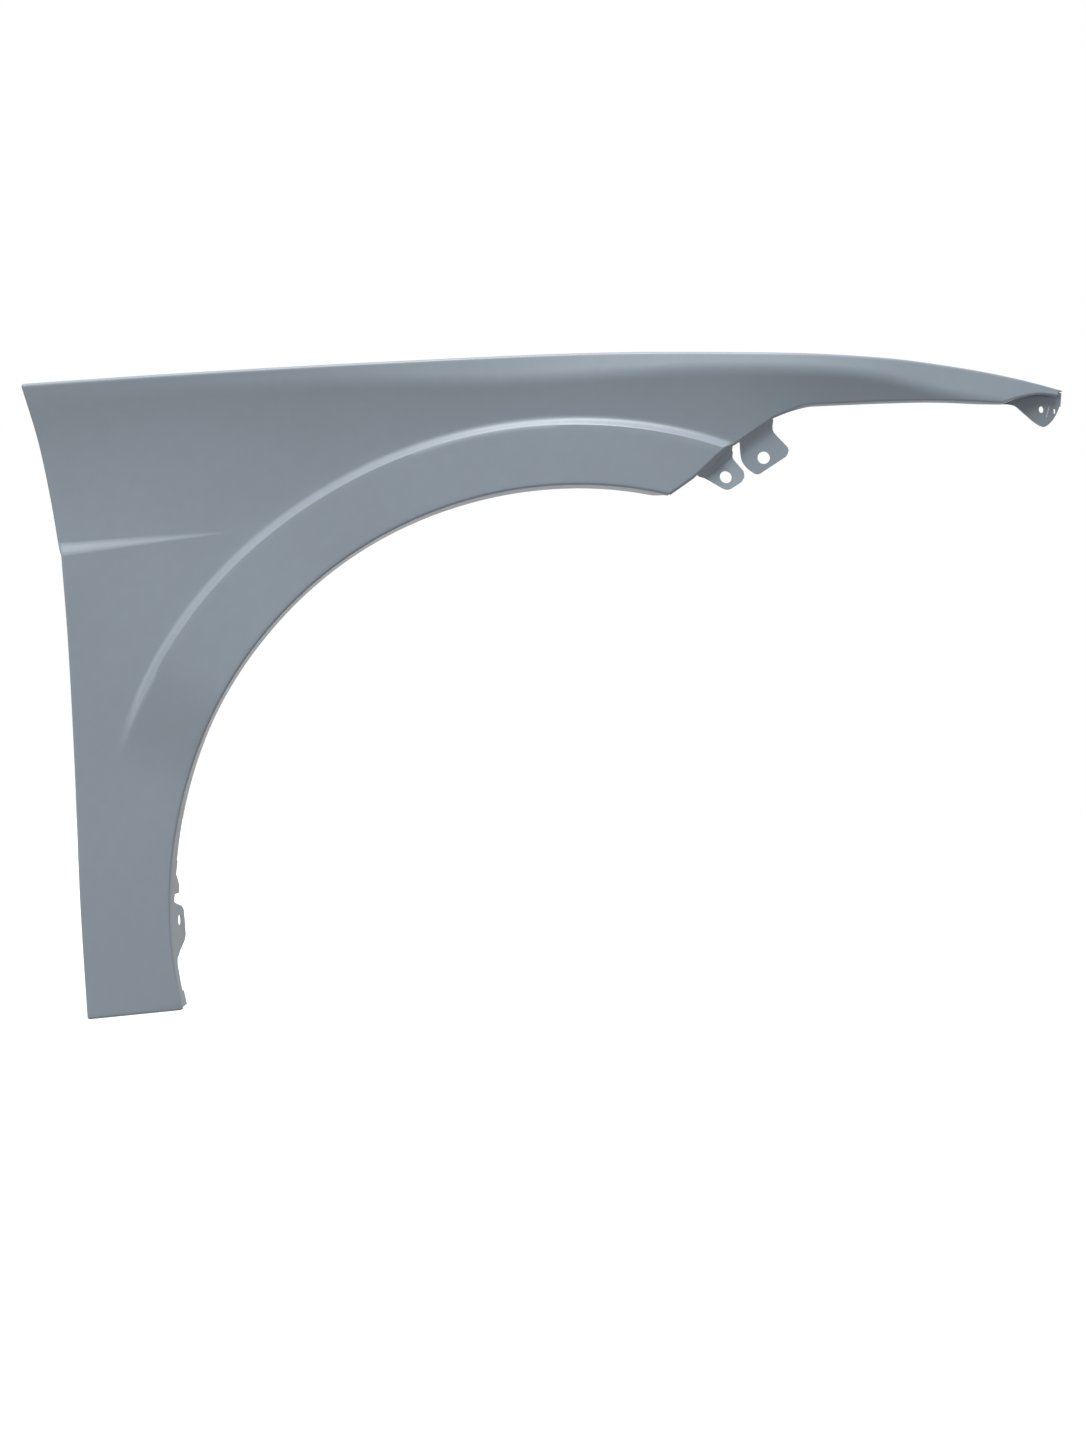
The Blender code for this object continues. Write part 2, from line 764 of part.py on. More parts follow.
def fold_front(sheet, frames):
    """The narrow return along the front edge, the spear and the headlamp cut. Gives back its last row."""
    corner = SPEAR_DROP[-1][0]
    profiles = []
    for frame in frames:
        x = frame.place.x
        on_cut = 1 - ease(cut_place(CUT_SHOULDER).x, cut_place(SPEAR_ROOT).x + 0.015, x)
        depth = SPEAR_RETURN + (NOSE_RETURN - SPEAR_RETURN) * ease(corner - 0.03, corner + 0.01, x)
        depth += (CUT_RETURN + FOLD - depth) * on_cut
        turn = SPEAR_RETURN_TURN + (CUT_TURN - SPEAR_RETURN_TURN) * on_cut
        fold = tightened(FOLD, x)
        profile = Profile(frame.heading * (1 - on_cut))
        profiles.append(profile.bend(fold, radians(turn) - profile.heading).straight(depth - fold))
    return sweep(sheet, frames, profiles)[-1]


def rail_height(x):
    """The shelf is level on each bolt land and runs straight from land to land."""
    knots = []
    for at in land_centres():
        level = top_height(at) - RAIL_DROP
        knots += [(at - LAND_HALF_WIDTH, level), (at + LAND_HALF_WIDTH, level)]
    if x <= knots[0][0]:
        return knots[0][1]
    for (start, low), (end, high) in zip(knots, knots[1:]):
        if x <= end + 1e-6:
            return low + (high - low) * max(x - start, 0.0) / (end - start)
    return knots[-1][1]


def shelf_depth(x):
    on_land = any(abs(x - at) <= LAND_HALF_WIDTH + 1e-6 for at in land_centres())
    return LAND_DEPTH if on_land else SHELF_DEPTH


def ledge_width(x):
    return RAIL_LEDGE + (NOSE_LEDGE - RAIL_LEDGE) * ease(SPEAR_DROP[-1][0], NOSE_REACH, x)


def wall_depth(frame):
    """From a place on the top edge inboard to the outer face of the rail's wall."""
    x = frame.place.x
    return tightened(RAIL_FOLD, x) * (1 - sin(frame.heading)) + ledge_width(x) + tightened(FOLD, x)


def rail_profile(frame, level, shelf):
    """Over the top edge, along the ledge and down the wall to a level, then out to any shelf."""
    profile = Profile(frame.heading)
    profile.bend(tightened(RAIL_FOLD, frame.place.x), radians(90) - frame.heading)
    profile.straight(ledge_width(frame.place.x))
    profile.bend(tightened(FOLD, frame.place.x), radians(90))
    fall = profile.points[-1][0] - (level - frame.place.z) / frame.across.z
    profile.straight(fall - FOLD, 2)
    return profile.bend(FOLD, -radians(90)).straight(shelf) if shelf else profile


def fold_rail(sheet, frames):
    """The hood rail and, past its end, the nose tab with a lip folded back behind its front edge."""
    rail = [frame for frame in frames if frame.place.x <= RAIL_END + 1e-6]
    nose = frames[len(rail) - 1 :]
    profiles = [rail_profile(f, rail_height(f.place.x), shelf_depth(f.place.x)) for f in rail]
    rows = rows_of(rail, profiles)
    ledge = 4
    behind_corner = sum(frame.place.x < rail[0].place.x + RAIL_START_IN - 1e-6 for frame in rail)
    sheet.loft(rows[:ledge])
    sheet.loft([row[behind_corner:] for row in rows[ledge - 1 :]])
    tip = nose[-1]
    forward = tip.inboard.cross(tip.across)
    nose += [tip._replace(place=tip.place + forward * ahead) for ahead in NOSE_TAB_AHEAD]
    levels = [rail_height(RAIL_END)]
    for frame in nose[1:]:
        wall = frame.reach(0.0, wall_depth(frame))
        levels.append(height_of(spline(NOSE_TAB_DROP, wall.x)) - FOLD)
    rows = rows_of(nose, [rail_profile(frame, level, None) for frame, level in zip(nose, levels)])
    past_tip = len(NOSE_TAB_AHEAD)
    sheet.loft([row[:-past_tip] for row in rows[:-2]])
    sheet.loft(rows[-3:])
    fold_lip(sheet, [row[-1] for row in rows[-1:-4:-1]], forward, tip.inboard)


def fold_lip(sheet, edge, ahead, inboard):
    """A lip that turns right round behind the front edge of the nose tab."""
    profile = Profile(0.0).bend(NOSE_LIP_FOLD, radians(180), 4).straight(NOSE_LIP)
    sheet.loft([[place + ahead * out + inboard * back for place in edge] for out, back in profile.points])


def tab_frame(root):
    """The tab's own directions: along its root, out past it, and inboard."""
    along = (root[0] - root[-1]).normalized()
    inboard = Vector((0.0, 1.0, 0.0))
    inboard = (inboard - along * inboard.dot(along)).normalized()
    turned = Matrix((along, inboard.cross(along), inboard)).transposed().to_4x4()
    return Matrix.Translation(root[-1]) @ turned


def tab_edge(knots, tab, out):
    return spline(((0.0, knots[0]), (tab.waist_at, knots[1]), (tab.reach, knots[2])), out)


def fold_tab(sheet, root, tab):
    """A bolt tab set back by a joggle. Its root runs along the cut, and its corners are round."""
    frame = tab_frame(root)
    turn = radians(CUT_TURN)
    profile = Profile(turn).straight(tab.wall).bend(tab.second_fold, -turn, 3)
    out, depth = profile.points[-1]
    plate = tab.reach - tab.corner - out
    profile.straight(plate, 2)
    steps = 4
    for k in range(steps):
        rise = sin(pi / 2 * (k + 1) / steps) - sin(pi / 2 * k / steps)
        profile.straight(tab.corner * rise)
    rows = [root]
    for k, (out, depth) in enumerate(profile.points[1:], start=1):
        turned = max(k - (len(profile.points) - 1 - steps), 0) / steps
        inset = tab.corner * (1 - cos(pi / 2 * turned))
        right = tab_edge(tab.right, tab, out) - inset
        left = tab_edge(tab.left, tab, out) + inset
        ends = (Vector((right, out, depth)), Vector((left, out, depth)))
        rows.append([frame @ place for place in between(*ends, even(len(root) - 1))])
    sheet.loft(rows)
    return frame @ Matrix.Translation((tab.hole_along, tab.hole_out, profile.points[-1][1]))


def add_object(name, mesh, collection):
    shape = bpy.data.meshes.new(name)
    mesh.to_mesh(shape)
    mesh.free()
    made = bpy.data.objects.new(name, shape)
    collection.objects.link(made)
    return made


def add_hole(name, matrix, width, length, collection, depth=0.012):
    """A cutter for a round hole, or for a slot where it is longer than wide, along its matrix's Z axis."""
    mesh = bmesh.new()
    steps = 20
    bmesh.ops.create_cone(
        mesh,
        cap_ends=True,
        segments=steps,
        radius1=width / 2,
        radius2=width / 2,
        depth=depth,
        matrix=Matrix.Rotation(pi / steps, 4, "Z"),
    )
    for vert in mesh.verts:
        vert.co.x += (length - width) / 2 * (1 if vert.co.x > 0 else -1)
    cutter = add_object(name, mesh, collection)
    cutter.matrix_world = matrix
    return cutter


def add_window(name, matrix, size, collection, depth=0.012):
    """A cutter for a rectangular hole."""
    mesh = bmesh.new()
    bmesh.ops.create_cube(mesh, size=1.0, matrix=Matrix.Diagonal((size[0], size[1], depth, 1.0)))
    cutter = add_object(name, mesh, collection)
    cutter.matrix_world = matrix
    return cutter


def facing(place, normal, along):
    """A frame at a place: Z along a face's normal, and X as near to the given direction as it can be."""
    normal = normal.normalized()
    along = (along - normal * along.dot(normal)).normalized()
    turned = Matrix((along, normal.cross(along), normal)).transposed().to_4x4()
    return Matrix.Translation(place) @ turned


def cut_rail_holes(cutters):
    """On each land a bolt slot and a locating hole stand either side of the land's middle."""
    for at in land_centres():
        for side, width, length in ((-1, LAND_HOLE, LAND_HOLE), (1, SLOT_WIDTH, SLOT_LENGTH)):
            x = at + side * LAND_HOLE_SPACING
            frame = rail_frame(x)
            depth = rail_seat_depth(frame) + 0.001
            place = frame.reach(0.0, depth)
            place.z = rail_height(x)
            name = f"land_cutter_{round(at * 1000)}_{'slot' if side > 0 else 'hole'}"
            add_hole(name, facing(place, Vector((0, 0, 1)), frame.inboard), width, length, cutters)


def rail_frame(x):
    """The frame on the top edge at a station, carried straight on past the nose."""
    within = min(x, NOSE_REACH - 0.001)
    frame = walk_rim([Vector((within + d, top_height(within + d))) for d in (-0.001, 0.0, 0.001)])[1]
    forward = frame.inboard.cross(frame.across)
    return frame._replace(place=frame.place + forward * (x - within) / forward.x)


def rail_seat_depth(frame):
    """From the top edge inboard to the middle of a bolt land."""
    return wall_depth(frame) + FOLD + LAND_DEPTH / 2


def cut_nose_holes(cutters):
    """The round hole, the slit and the window in the nose tab."""
    features = (
        ("nose_hole_cutter", NOSE_HOLE_AT, None, 0.0),
        ("nose_slit_cutter", NOSE_SLIT_AT, NOSE_SLIT_SIZE, NOSE_SLIT_TILT),
        ("nose_window_cutter", NOSE_WINDOW_AT, NOSE_WINDOW_SIZE, 0.0),
    )
    for name, (x, drop), size, tilt in features:
        frame = rail_frame(x)
        frame = rail_frame(x + x - frame.reach(0.0, wall_depth(frame)).x)
        place = frame.reach(0.0, wall_depth(frame))
        place.z = height_of(drop)
        level = Vector((frame.inboard.y, -frame.inboard.x, 0.0))
        matrix = facing(place, frame.inboard, level) @ Matrix.Rotation(radians(tilt), 4, "Z")
        if size is None:
            add_hole(name, matrix, NOSE_HOLE, NOSE_HOLE, cutters, 0.004)
        else:
            add_window(name, matrix, size, cutters, 0.004)


def cut_foot_slots(layout, cutters):
    """Two sill bolt slots, lengthways across the flange under the leg."""
    along = (layout.arch_foot - layout.rear_foot).normalized()
    for k, distance in enumerate(BOTTOM_SLOTS_IN):
        point = layout.rear_foot + along * distance
        place = on_skin(point) + Vector((0.0, BOTTOM_SLOT_DEPTH, 0.0))
        normal = Vector((-along.y, 0.0, along.x))
        matrix = facing(place, normal, Vector((0, 1, 0)))
        add_hole(f"foot_slot_cutter_{k}", matrix, BOTTOM_SLOT_WIDTH, BOTTOM_SLOT_LENGTH, cutters)


def cut_rear_hole(cutters):
    height = height_of(REAR_BOLT_DROP)
    edge = on_skin((rear_edge(height), height))
    place = edge + Vector((0.0, REAR_BOLT_HOLE_DEPTH, 0.0))
    matrix = facing(place, Vector((1, 0, 0)), Vector((0, 0, 1)))
    add_hole("rear_hole_cutter", matrix, REAR_BOLT_HOLE, REAR_BOLT_HOLE, cutters, 0.016)


def cut_liner_tabs(cutters):
    """Trims the deep stretch of the arch flange to two liner tabs, and makes the hole in the lower one."""
    fold_depth = skin_depth(-arch_radius(180.0), 0.0)
    far = fold_depth + LINER_TAB_DEPTH + 0.010
    outline = [(fold_depth + depth, z) for z, depth in LINER_TRIM]
    outline += [(far, LINER_TRIM[-1][0]), (far, LINER_TRIM[0][0])]
    mesh = bmesh.new()
    behind = -arch_radius(180.0) - 0.012
    face = mesh.faces.new([mesh.verts.new((behind, y, z)) for y, z in outline])
    moved = bmesh.ops.extrude_face_region(mesh, geom=[face])["geom"]
    fresh = [item for item in moved if isinstance(item, bmesh.types.BMVert)]
    bmesh.ops.translate(mesh, verts=fresh, vec=(0.034, 0.0, 0.0))
    bmesh.ops.recalc_face_normals(mesh, faces=mesh.faces)
    add_object("liner_trim_cutter", mesh, cutters)
    z, depth = LINER_HOLE_AT
    place = Vector((-arch_radius(184.0) + depth * tan(radians(ARCH_DRAFT)), fold_depth + depth, z))
    matrix = facing(place, Vector((1, 0, 0)), Vector((0, 0, 1)))
    add_hole("liner_hole_cutter", matrix, LINER_HOLE, LINER_HOLE, cutters, 0.016)


def rail_seat(layout):
    """The seat of the middle bolt land: the underside of the shelf, straight above the wheel's axis."""
    x = land_centres()[2]
    frame = rail_frame(x)
    place = frame.reach(0.0, rail_seat_depth(frame))
    return Vector((x, place.y, rail_height(x) - SHEET))


def paint():
    material = bpy.data.materials.new("primer")
    material.use_nodes = True
    shader = material.node_tree.nodes["Principled BSDF"]
    shader.inputs["Base Color"].default_value = PAINT
    shader.inputs["Roughness"].default_value = 0.45
    shader.inputs["Metallic"].default_value = 0.0
    return material


def clear_scene():
    for item in list(bpy.data.objects):
        bpy.data.objects.remove(item)


def add_collection(name):
    collection = bpy.data.collections.new(name)
    bpy.context.scene.collection.children.link(collection)
    return collection


def main():
    clear_scene()
    parts = add_collection(COLLECTION)
    cutters = add_collection("cutters")
    layout = Layout()
    sheet = Sheet()
    rims = {name: walk_rim(rim) for name, rim in press_skin(sheet, layout).items()}
    fold_arch(sheet, rims["arch"])
    fold_foot(sheet, rims["foot"])
    fold_rear(sheet, rims["rear"])
    fold_rail(sheet, rims["top"])
    fold_corner(sheet, rims["arch"][-1], rims["foot"][0], (FOLD, FOLD), (90 - ARCH_DRAFT, 90))
    fold_corner(sheet, rims["foot"][-1], rims["rear"][0], (FOLD, FOLD), (90, 90))
    fold_corner(sheet, rims["rear"][-1], rims["top"][0], (FOLD, RAIL_FOLD), (90, 90))
    folded = fold_front(sheet, rims["front"])
    lower_root = folded[-FLARE_ROWS - BAND_ROWS - 1 : -FLARE_ROWS + 2]
    upper_root = folded[-FLARE_ROWS - BAND_ROWS - 6 : -FLARE_ROWS - BAND_ROWS - 1]
    for tab, root in zip(BOLT_TABS, (lower_root, upper_root)):
        matrix = fold_tab(sheet, root, tab)
        add_hole(f"{tab.name}_tab_cutter", matrix, TAB_HOLE, TAB_HOLE, cutters)

    cut_rail_holes(cutters)
    cut_nose_holes(cutters)
    cut_foot_slots(layout, cutters)
    cut_rear_hole(cutters)
    cut_liner_tabs(cutters)

    panel = add_object(PANEL, sheet.mesh, parts)
    panel.data.materials.append(paint())
    solid = panel.modifiers.new("Sheet", "SOLIDIFY")
    solid.thickness = SHEET
    solid.offset = -1.0
    solid.use_even_offset = True
    holes = panel.modifiers.new("Holes", "BOOLEAN")
    holes.operation = "DIFFERENCE"
    holes.solver = "EXACT"
    holes.operand_type = "COLLECTION"
    holes.collection = cutters

    shift = Matrix.Translation(-rail_seat(layout))
    for item in [panel, *cutters.objects]:
        item.matrix_world = shift @ item.matrix_world
    for cutter in cutters.objects:
        cutter.hide_render = True
        cutter.display_type = "WIRE"
    panel.data.shade_smooth()
    panel.data.set_sharp_from_angle(angle=radians(25))


main()
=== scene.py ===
"""The look of a right front fender: one satin-primed steel pressing in a plain pale studio.

The panel is drawn round the wheel centre and seen from its outer side: +X runs forward, +Y
inboard, +Z up. At the end it moves so that its origin is the seat of the middle bolt land on the
hood rail. A rim is always walked clockwise as seen from outside, so what lies beyond it is on the
left hand.
"""

import json
from math import atan, atan2, cos, degrees, hypot, pi, radians, sin, tan
from typing import NamedTuple

import bmesh
import bpy
from mathutils import Matrix, Vector

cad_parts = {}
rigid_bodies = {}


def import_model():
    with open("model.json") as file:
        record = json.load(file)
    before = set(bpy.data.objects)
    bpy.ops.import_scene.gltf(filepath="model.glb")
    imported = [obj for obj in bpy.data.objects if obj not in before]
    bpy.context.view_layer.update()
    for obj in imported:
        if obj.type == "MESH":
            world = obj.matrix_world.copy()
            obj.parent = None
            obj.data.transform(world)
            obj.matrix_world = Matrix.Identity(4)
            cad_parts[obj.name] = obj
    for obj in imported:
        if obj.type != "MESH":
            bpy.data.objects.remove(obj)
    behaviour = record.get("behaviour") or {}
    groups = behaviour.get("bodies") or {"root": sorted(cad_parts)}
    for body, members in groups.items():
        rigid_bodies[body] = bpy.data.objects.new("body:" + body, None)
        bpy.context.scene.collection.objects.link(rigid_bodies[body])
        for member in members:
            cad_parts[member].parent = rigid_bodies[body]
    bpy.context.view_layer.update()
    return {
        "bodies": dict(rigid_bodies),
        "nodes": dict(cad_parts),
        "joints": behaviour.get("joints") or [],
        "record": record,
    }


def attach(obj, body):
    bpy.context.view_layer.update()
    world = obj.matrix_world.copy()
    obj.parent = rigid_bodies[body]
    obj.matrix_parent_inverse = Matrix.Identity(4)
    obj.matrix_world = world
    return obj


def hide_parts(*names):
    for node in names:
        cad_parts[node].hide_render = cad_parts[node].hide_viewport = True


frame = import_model()

bl_info = {
    "name": "Car Fender",
    "version": (1, 0, 0),
    "blender": (4, 5, 0),
    "location": "3D View > Sidebar > Fender",
    "description": "Presses a right front fender, pierces it, primes it and sets it in a studio",
    "category": "Object",
}

# From the wheel's axis ahead to the end of the skin
NOSE_REACH = 0.4505

# Sheet and folds
SHEET = 0.0008
FOLD = 0.0022
RAIL_FOLD = 0.003
NOSE_FOLD = 0.0012

# Wheel arch, with angles in degrees from straight ahead, over the top, to the foot behind the wheel.
# The flange's draft is given at each angle, and the flange tapers out over the last degrees in front
ARCH_RADIUS = 0.361
ARCH_FRONT = 77.3
ARCH_STRAIGHTENS = 150.0
ARCH_FOOT = 196.4
FOOT_OPENING = 0.0085
ARCH_FLANGE = 0.018
ARCH_DRAFT = ((84.0, 6.5), (105.0, 6.2), (124.0, 3.0), (140.0, 3.0), (158.0, 1.0), (176.0, 6.5))
ARCH_END_FLANGE = 0.005
ARCH_END_TAPER = 2.2

# Flare round the arch: its face is as wide as given at each angle, then a sloping band steps inboard.
# The step grows by more between the two turns, towards the headlamp
FLARE_WIDTH = (
    (70.0, 0.0527),
    (90.0, 0.0519),
    (120.0, 0.0548),
    (142.0, 0.0597),
    (160.0, 0.0615),
    (200.0, 0.0615),
)
FLARE_BAND = 0.0092
FLARE_STEP = 0.006
FLARE_STEP_MORE = 0.0028
FLARE_STEP_TURNS = (74.0, 98.0)
FLARE_FADES = 150.0
FLARE_ENDS = 165.0
FLARE_STEEPNESS = 1.45
FLARE_EDGE_SOFTNESS = 0.10

# Side profile
CROWN_RISE = 0.1162
WAIST_DROP = 0.207
TUCK_CURVE = 0.115
UNDERCUT_CURVE = 0.39
NOSE_UNDERCUT = 1.5
SHOULDER_SOFTNESS = 0.006
UNDERCUT_TIGHTENS = (0.110, 0.220)
REAR_LEAN = -8.0
FRONT_LEAN = 15.0
LEAN_TURNS = (-0.420, 0.110)
SHOULDER_DROP = (
    (-0.500, 0.0450),
    (-0.337, 0.0330),
    (-0.210, 0.0260),
    (-0.070, 0.0250),
    (0.020, 0.0200),
    (0.110, 0.0142),
    (NOSE_REACH - 0.2355, 0.0140),
    (NOSE_REACH - 0.1805, 0.0175),
    (NOSE_REACH - 0.1205, 0.0285),
    (NOSE_REACH - 0.0655, 0.0335),
    (NOSE_REACH, 0.0370),
)

# Plan shape
NOSE_SWEEP = 0.149
NOSE_SWEEP_POWER = 2.4
REAR_SWEEP = 0.012
REAR_SWEEP_FROM = -0.060

# Outline of the folded edges: the top by its drop below the crown, the leg's rear edge by its
# distance behind the arch at each height
TOP_DROP = (
    (-0.4941, 0.0271),
    (-0.3370, 0.0175),
    (-0.1680, 0.0081),
    (0.0000, 0.0000),
    (0.1500, -0.0019),
    (NOSE_REACH - 0.1685, -0.0009),
    (NOSE_REACH - 0.0985, 0.0031),
    (NOSE_REACH - 0.0495, 0.0078),
    (NOSE_REACH, 0.0155),
)
LEG_WIDTH = (
    (-0.1154, 0.0781),
    (-0.0100, 0.0835),
    (0.1170, 0.0875),
    (0.2238, 0.0924),
)

# The same distance by the drop below the crown: at the top of the leg, then up the pillar's side
LEG_TOP = (0.1785, 0.0980)
PILLAR_WIDTH = ((0.1677, 0.1016), (0.1291, 0.1081), (0.0762, 0.1190), (0.0271, 0.1330))

# Door crease: a band that faces up, deepest at the rear edge, and runs out ahead of it
DOOR_CREASE_LENGTH = 0.155
DOOR_CREASE_RISE = 0.0098
DOOR_CREASE_STEP = 0.0052
DOOR_CREASE_POWER = 1.3
DOOR_CREASE_FADE = 0.250

# Headlamp cut: its foot above the arch, and the angles where the flare's crease runs out on it
CUT_FOOT_ANGLE = 74.75
CUT_FOOT_OUT = 0.0204
CREASE_LOW_END = 72.05
CREASE_HIGH_END = 70.85

# The cut's shoulder and the spear's root, by the distance ahead of the crease's high end and the drop
# below the crown. The root is rounded off from one distance before it to another past it
CUT_SHOULDER = (0.0329, 0.0547)
SPEAR_ROOT = (0.0572, 0.0464)
SPEAR_ROOT_ROUND = (0.0160, 0.0140)

# The lower edge of the spear and the front edge, by the drop below the crown
SPEAR_END = NOSE_REACH - 0.0604
SPEAR_DROP = ((NOSE_REACH - 0.1231, 0.0371), (SPEAR_END, 0.0349))
FRONT_DROP = (
    SPEAR_DROP[-1],
    (NOSE_REACH - 0.0426, 0.0278),
    (NOSE_REACH - 0.0210, 0.0222),
    (NOSE_REACH - 0.0015, 0.0220),
)
SPEAR_INSET = 1.4
SPEAR_RETURN = 0.0075
SPEAR_RETURN_TURN = 76.0
NOSE_RETURN = 0.0045
NOSE_RETURN_TURNS = (SPEAR_END - 0.030, SPEAR_END + 0.010)
CUT_RETURN = 0.0015
CUT_TURN = 40.0
CUT_TURN_PAST_ROOT = 0.015

# Hood rail: over the top edge, down a wall, and out to a shelf with bolt lands
RAIL_LEDGE = 0.006
NOSE_LEDGE = 0.003
RAIL_DROP = 0.024
RAIL_START_IN = 0.009
RAIL_END = NOSE_REACH - 0.0655
REAR_LAND_IN = 0.071
INNER_LANDS = (-0.210, 0.000)
CREASE_TO_LAND = 0.0562
FRONT_LAND = NOSE_REACH - 0.1205
LAND_HALF_WIDTH = 0.022
LAND_DEPTH = 0.027
SHELF_DEPTH = 0.014
SLOT_WIDTH = 0.0085
SLOT_LENGTH = 0.013
LAND_HOLE = 0.0065
LAND_HOLE_SPACING = 0.012
LAND_HOLES_IN = 0.001

# Nose tab: the rail wall carried down and ahead at the tip, by its lower edge's drop below the crown
NOSE_TAB_DROP = (
    (RAIL_END, 0.0335),
    (NOSE_REACH - 0.0448, 0.0332),
    (NOSE_REACH - 0.0341, 0.0398),
    (NOSE_REACH - 0.0233, 0.0471),
    (NOSE_REACH - 0.0146, 0.0510),
    (NOSE_REACH - 0.0103, 0.0507),
    (NOSE_REACH - 0.0029, 0.0437),
    (NOSE_REACH + 0.0013, 0.0350),
    (NOSE_REACH + 0.0040, 0.0260),
)
NOSE_TAB_AHEAD = (0.0030, 0.0055, 0.0075)
NOSE_HOLE = 0.0062
NOSE_HOLE_AT = (NOSE_REACH - 0.0183, 0.0353)
NOSE_SLIT_AT = (NOSE_REACH - 0.0111, 0.0367)
NOSE_SLIT_SIZE = (0.0010, 0.0115)
NOSE_SLIT_TILT = 20.0
NOSE_WINDOW_AT = (NOSE_REACH - 0.0039, 0.0358)
NOSE_WINDOW_SIZE = (0.0028, 0.0040)
NOSE_LIP = 0.0145
NOSE_LIP_FOLD = 0.0022

# Other folded edges
REAR_RETURN = 0.014
REAR_BOLT_TAB = 0.030
REAR_BOLT_DROP = 0.0772
REAR_BOLT_HALF_WIDTH = 0.026
REAR_BOLT_HOLE = 0.009
REAR_BOLT_HOLE_DEPTH = 0.018
BOTTOM_FLANGE = 0.020
BOTTOM_SLOTS_IN = (0.022, 0.062)
BOTTOM_SLOT_DEPTH = 0.011
BOTTOM_SLOT_LENGTH = 0.012
BOTTOM_SLOT_WIDTH = 0.0075

# Liner tabs on the arch flange behind the wheel: height above the wheel centre by depth from the
# fold. The trimming die starts behind the arch and is wide enough to pass the flange
LINER_TAB_DEPTH = 0.056
LINER_TAB_TOP = 0.024
LINER_TAB_BOTTOM = -0.070
LINER_TRIM = (
    (0.034, 0.0184),
    (0.0145, 0.0175),
    (0.0100, 0.0235),
    (0.0050, 0.0290),
    (-0.0010, 0.0310),
    (-0.0028, 0.0300),
    (-0.0034, 0.0170),
    (-0.0100, 0.0160),
    (-0.0118, 0.0220),
    (-0.0150, 0.0400),
    (-0.0185, 0.0465),
    (-0.0300, 0.0500),
    (-0.0420, 0.0510),
    (-0.0470, 0.0460),
    (-0.0540, 0.0310),
    (-0.0610, 0.0190),
    (-0.0660, 0.0172),
    (-0.0900, 0.0195),
)
LINER_HOLE = 0.0097
LINER_HOLE_AT = (-0.0275, 0.033)
LINER_HOLE_ANGLE = 184.0
LINER_DIE_ANGLE = 180.0
LINER_DIE_MARGIN = 0.010
LINER_DIE_BEHIND = 0.012
LINER_DIE_WIDTH = 0.034


class BoltTab(NamedTuple):
    """A bolt tab: the length of its sloping wall, the fold on to its plate, how far out its left and
    right ends reach, each side's place along the root by the distance out, and its hole's place."""

    wall: float
    second_fold: float
    reach: tuple
    left: tuple
    right: tuple
    hole: tuple


TAB_HOLE = 0.011
TAB_WALL_ROWS = 3
TAB_FOLD_ROWS = 8
TAB_PLATE_ROWS = 20
LOWER_TAB = BoltTab(
    wall=0.009,
    second_fold=0.0012,
    reach=(0.0282, 0.0295),
    left=(
        (0.0000, 0.0006),
        (0.0034, 0.0016),
        (0.0051, 0.0045),
        (0.0084, 0.0070),
        (0.0155, 0.0099),
        (0.0230, 0.0129),
        (0.0266, 0.0152),
        (0.0282, 0.0185),
    ),
    right=(
        (0.0000, 0.0411),
        (0.0037, 0.0416),
        (0.0060, 0.0399),
        (0.0083, 0.0386),
        (0.0120, 0.0384),
        (0.0200, 0.0386),
        (0.0236, 0.0384),
        (0.0261, 0.0368),
        (0.0282, 0.0345),
        (0.0295, 0.0303),
    ),
    hole=(0.0220, 0.0172),
)
UPPER_TAB = BoltTab(
    wall=0.0045,
    second_fold=0.0130,
    reach=(0.0335, 0.0343),
    left=(
        (0.0000, 0.0004),
        (0.0016, 0.0000),
        (0.0111, -0.0052),
        (0.0154, -0.0068),
        (0.0210, -0.0069),
        (0.0259, -0.0058),
        (0.0322, -0.0028),
        (0.0335, 0.0000),
    ),
    right=(
        (0.0000, 0.0367),
        (0.0018, 0.0361),
        (0.0061, 0.0327),
        (0.0104, 0.0314),
        (0.0250, 0.0334),
        (0.0287, 0.0338),
        (0.0317, 0.0323),
        (0.0343, 0.0279),
    ),
    hole=(0.0109, 0.0237),
)

# Grid of the skin, with steps counted in coarse rows of FINE steps each
FINE = 3
FLARE_ROWS = 18
BAND_ROWS = 10
SIDE_ROWS = 20
SHOULDER_ROWS = 12
BEND_STEPS = 5
WALL_ROWS = 5
REAR_MARGIN = 0.013
LEG_DRIFT = 0.018
LEG_DRIFTS_FROM = 185.0
CORNER_GAP = 0.008
LEG_ROWS = 17
PILLAR_ROWS = 5
TOP_LAND_ROWS = (2, 6, 2, 6, 2, 5)
SPEAR_LAND_ROWS = (3, 5, 3, 2)
CUT_ROWS = 4
ROOT_ROWS = 2
FAN_TO_DOOR = 130.6
FAN_TO_CORNER = 120.6
FAN_STEP = 0.1
DOOR_EDGE = 0.003
DOOR_EDGE_FAN = 0.4
SPEAR_GRID_AHEAD = 0.013
SPEAR_LEAST_RISE = 0.40
NOSE_GRID_FROM = NOSE_REACH - 0.0385
NOSE_GRID_LAST = NOSE_REACH - 0.0030
SHOULDER_MARGIN_FADES = 0.150
CUT_GRID_START = 0.08
CORNER_STEPS = 6

# Distances over which a slope is measured, and the least one between stations
SLOPE_STEP = 0.001
SLOPE_BACK = 0.004
TOUCH = 1e-6

# Punches
HOLE_SIDES = 48
PUNCH_DEPTH = 0.012
FLANGE_PUNCH_DEPTH = 0.016
NOSE_PUNCH_DEPTH = 0.004
SMOOTH_BELOW = 28.0

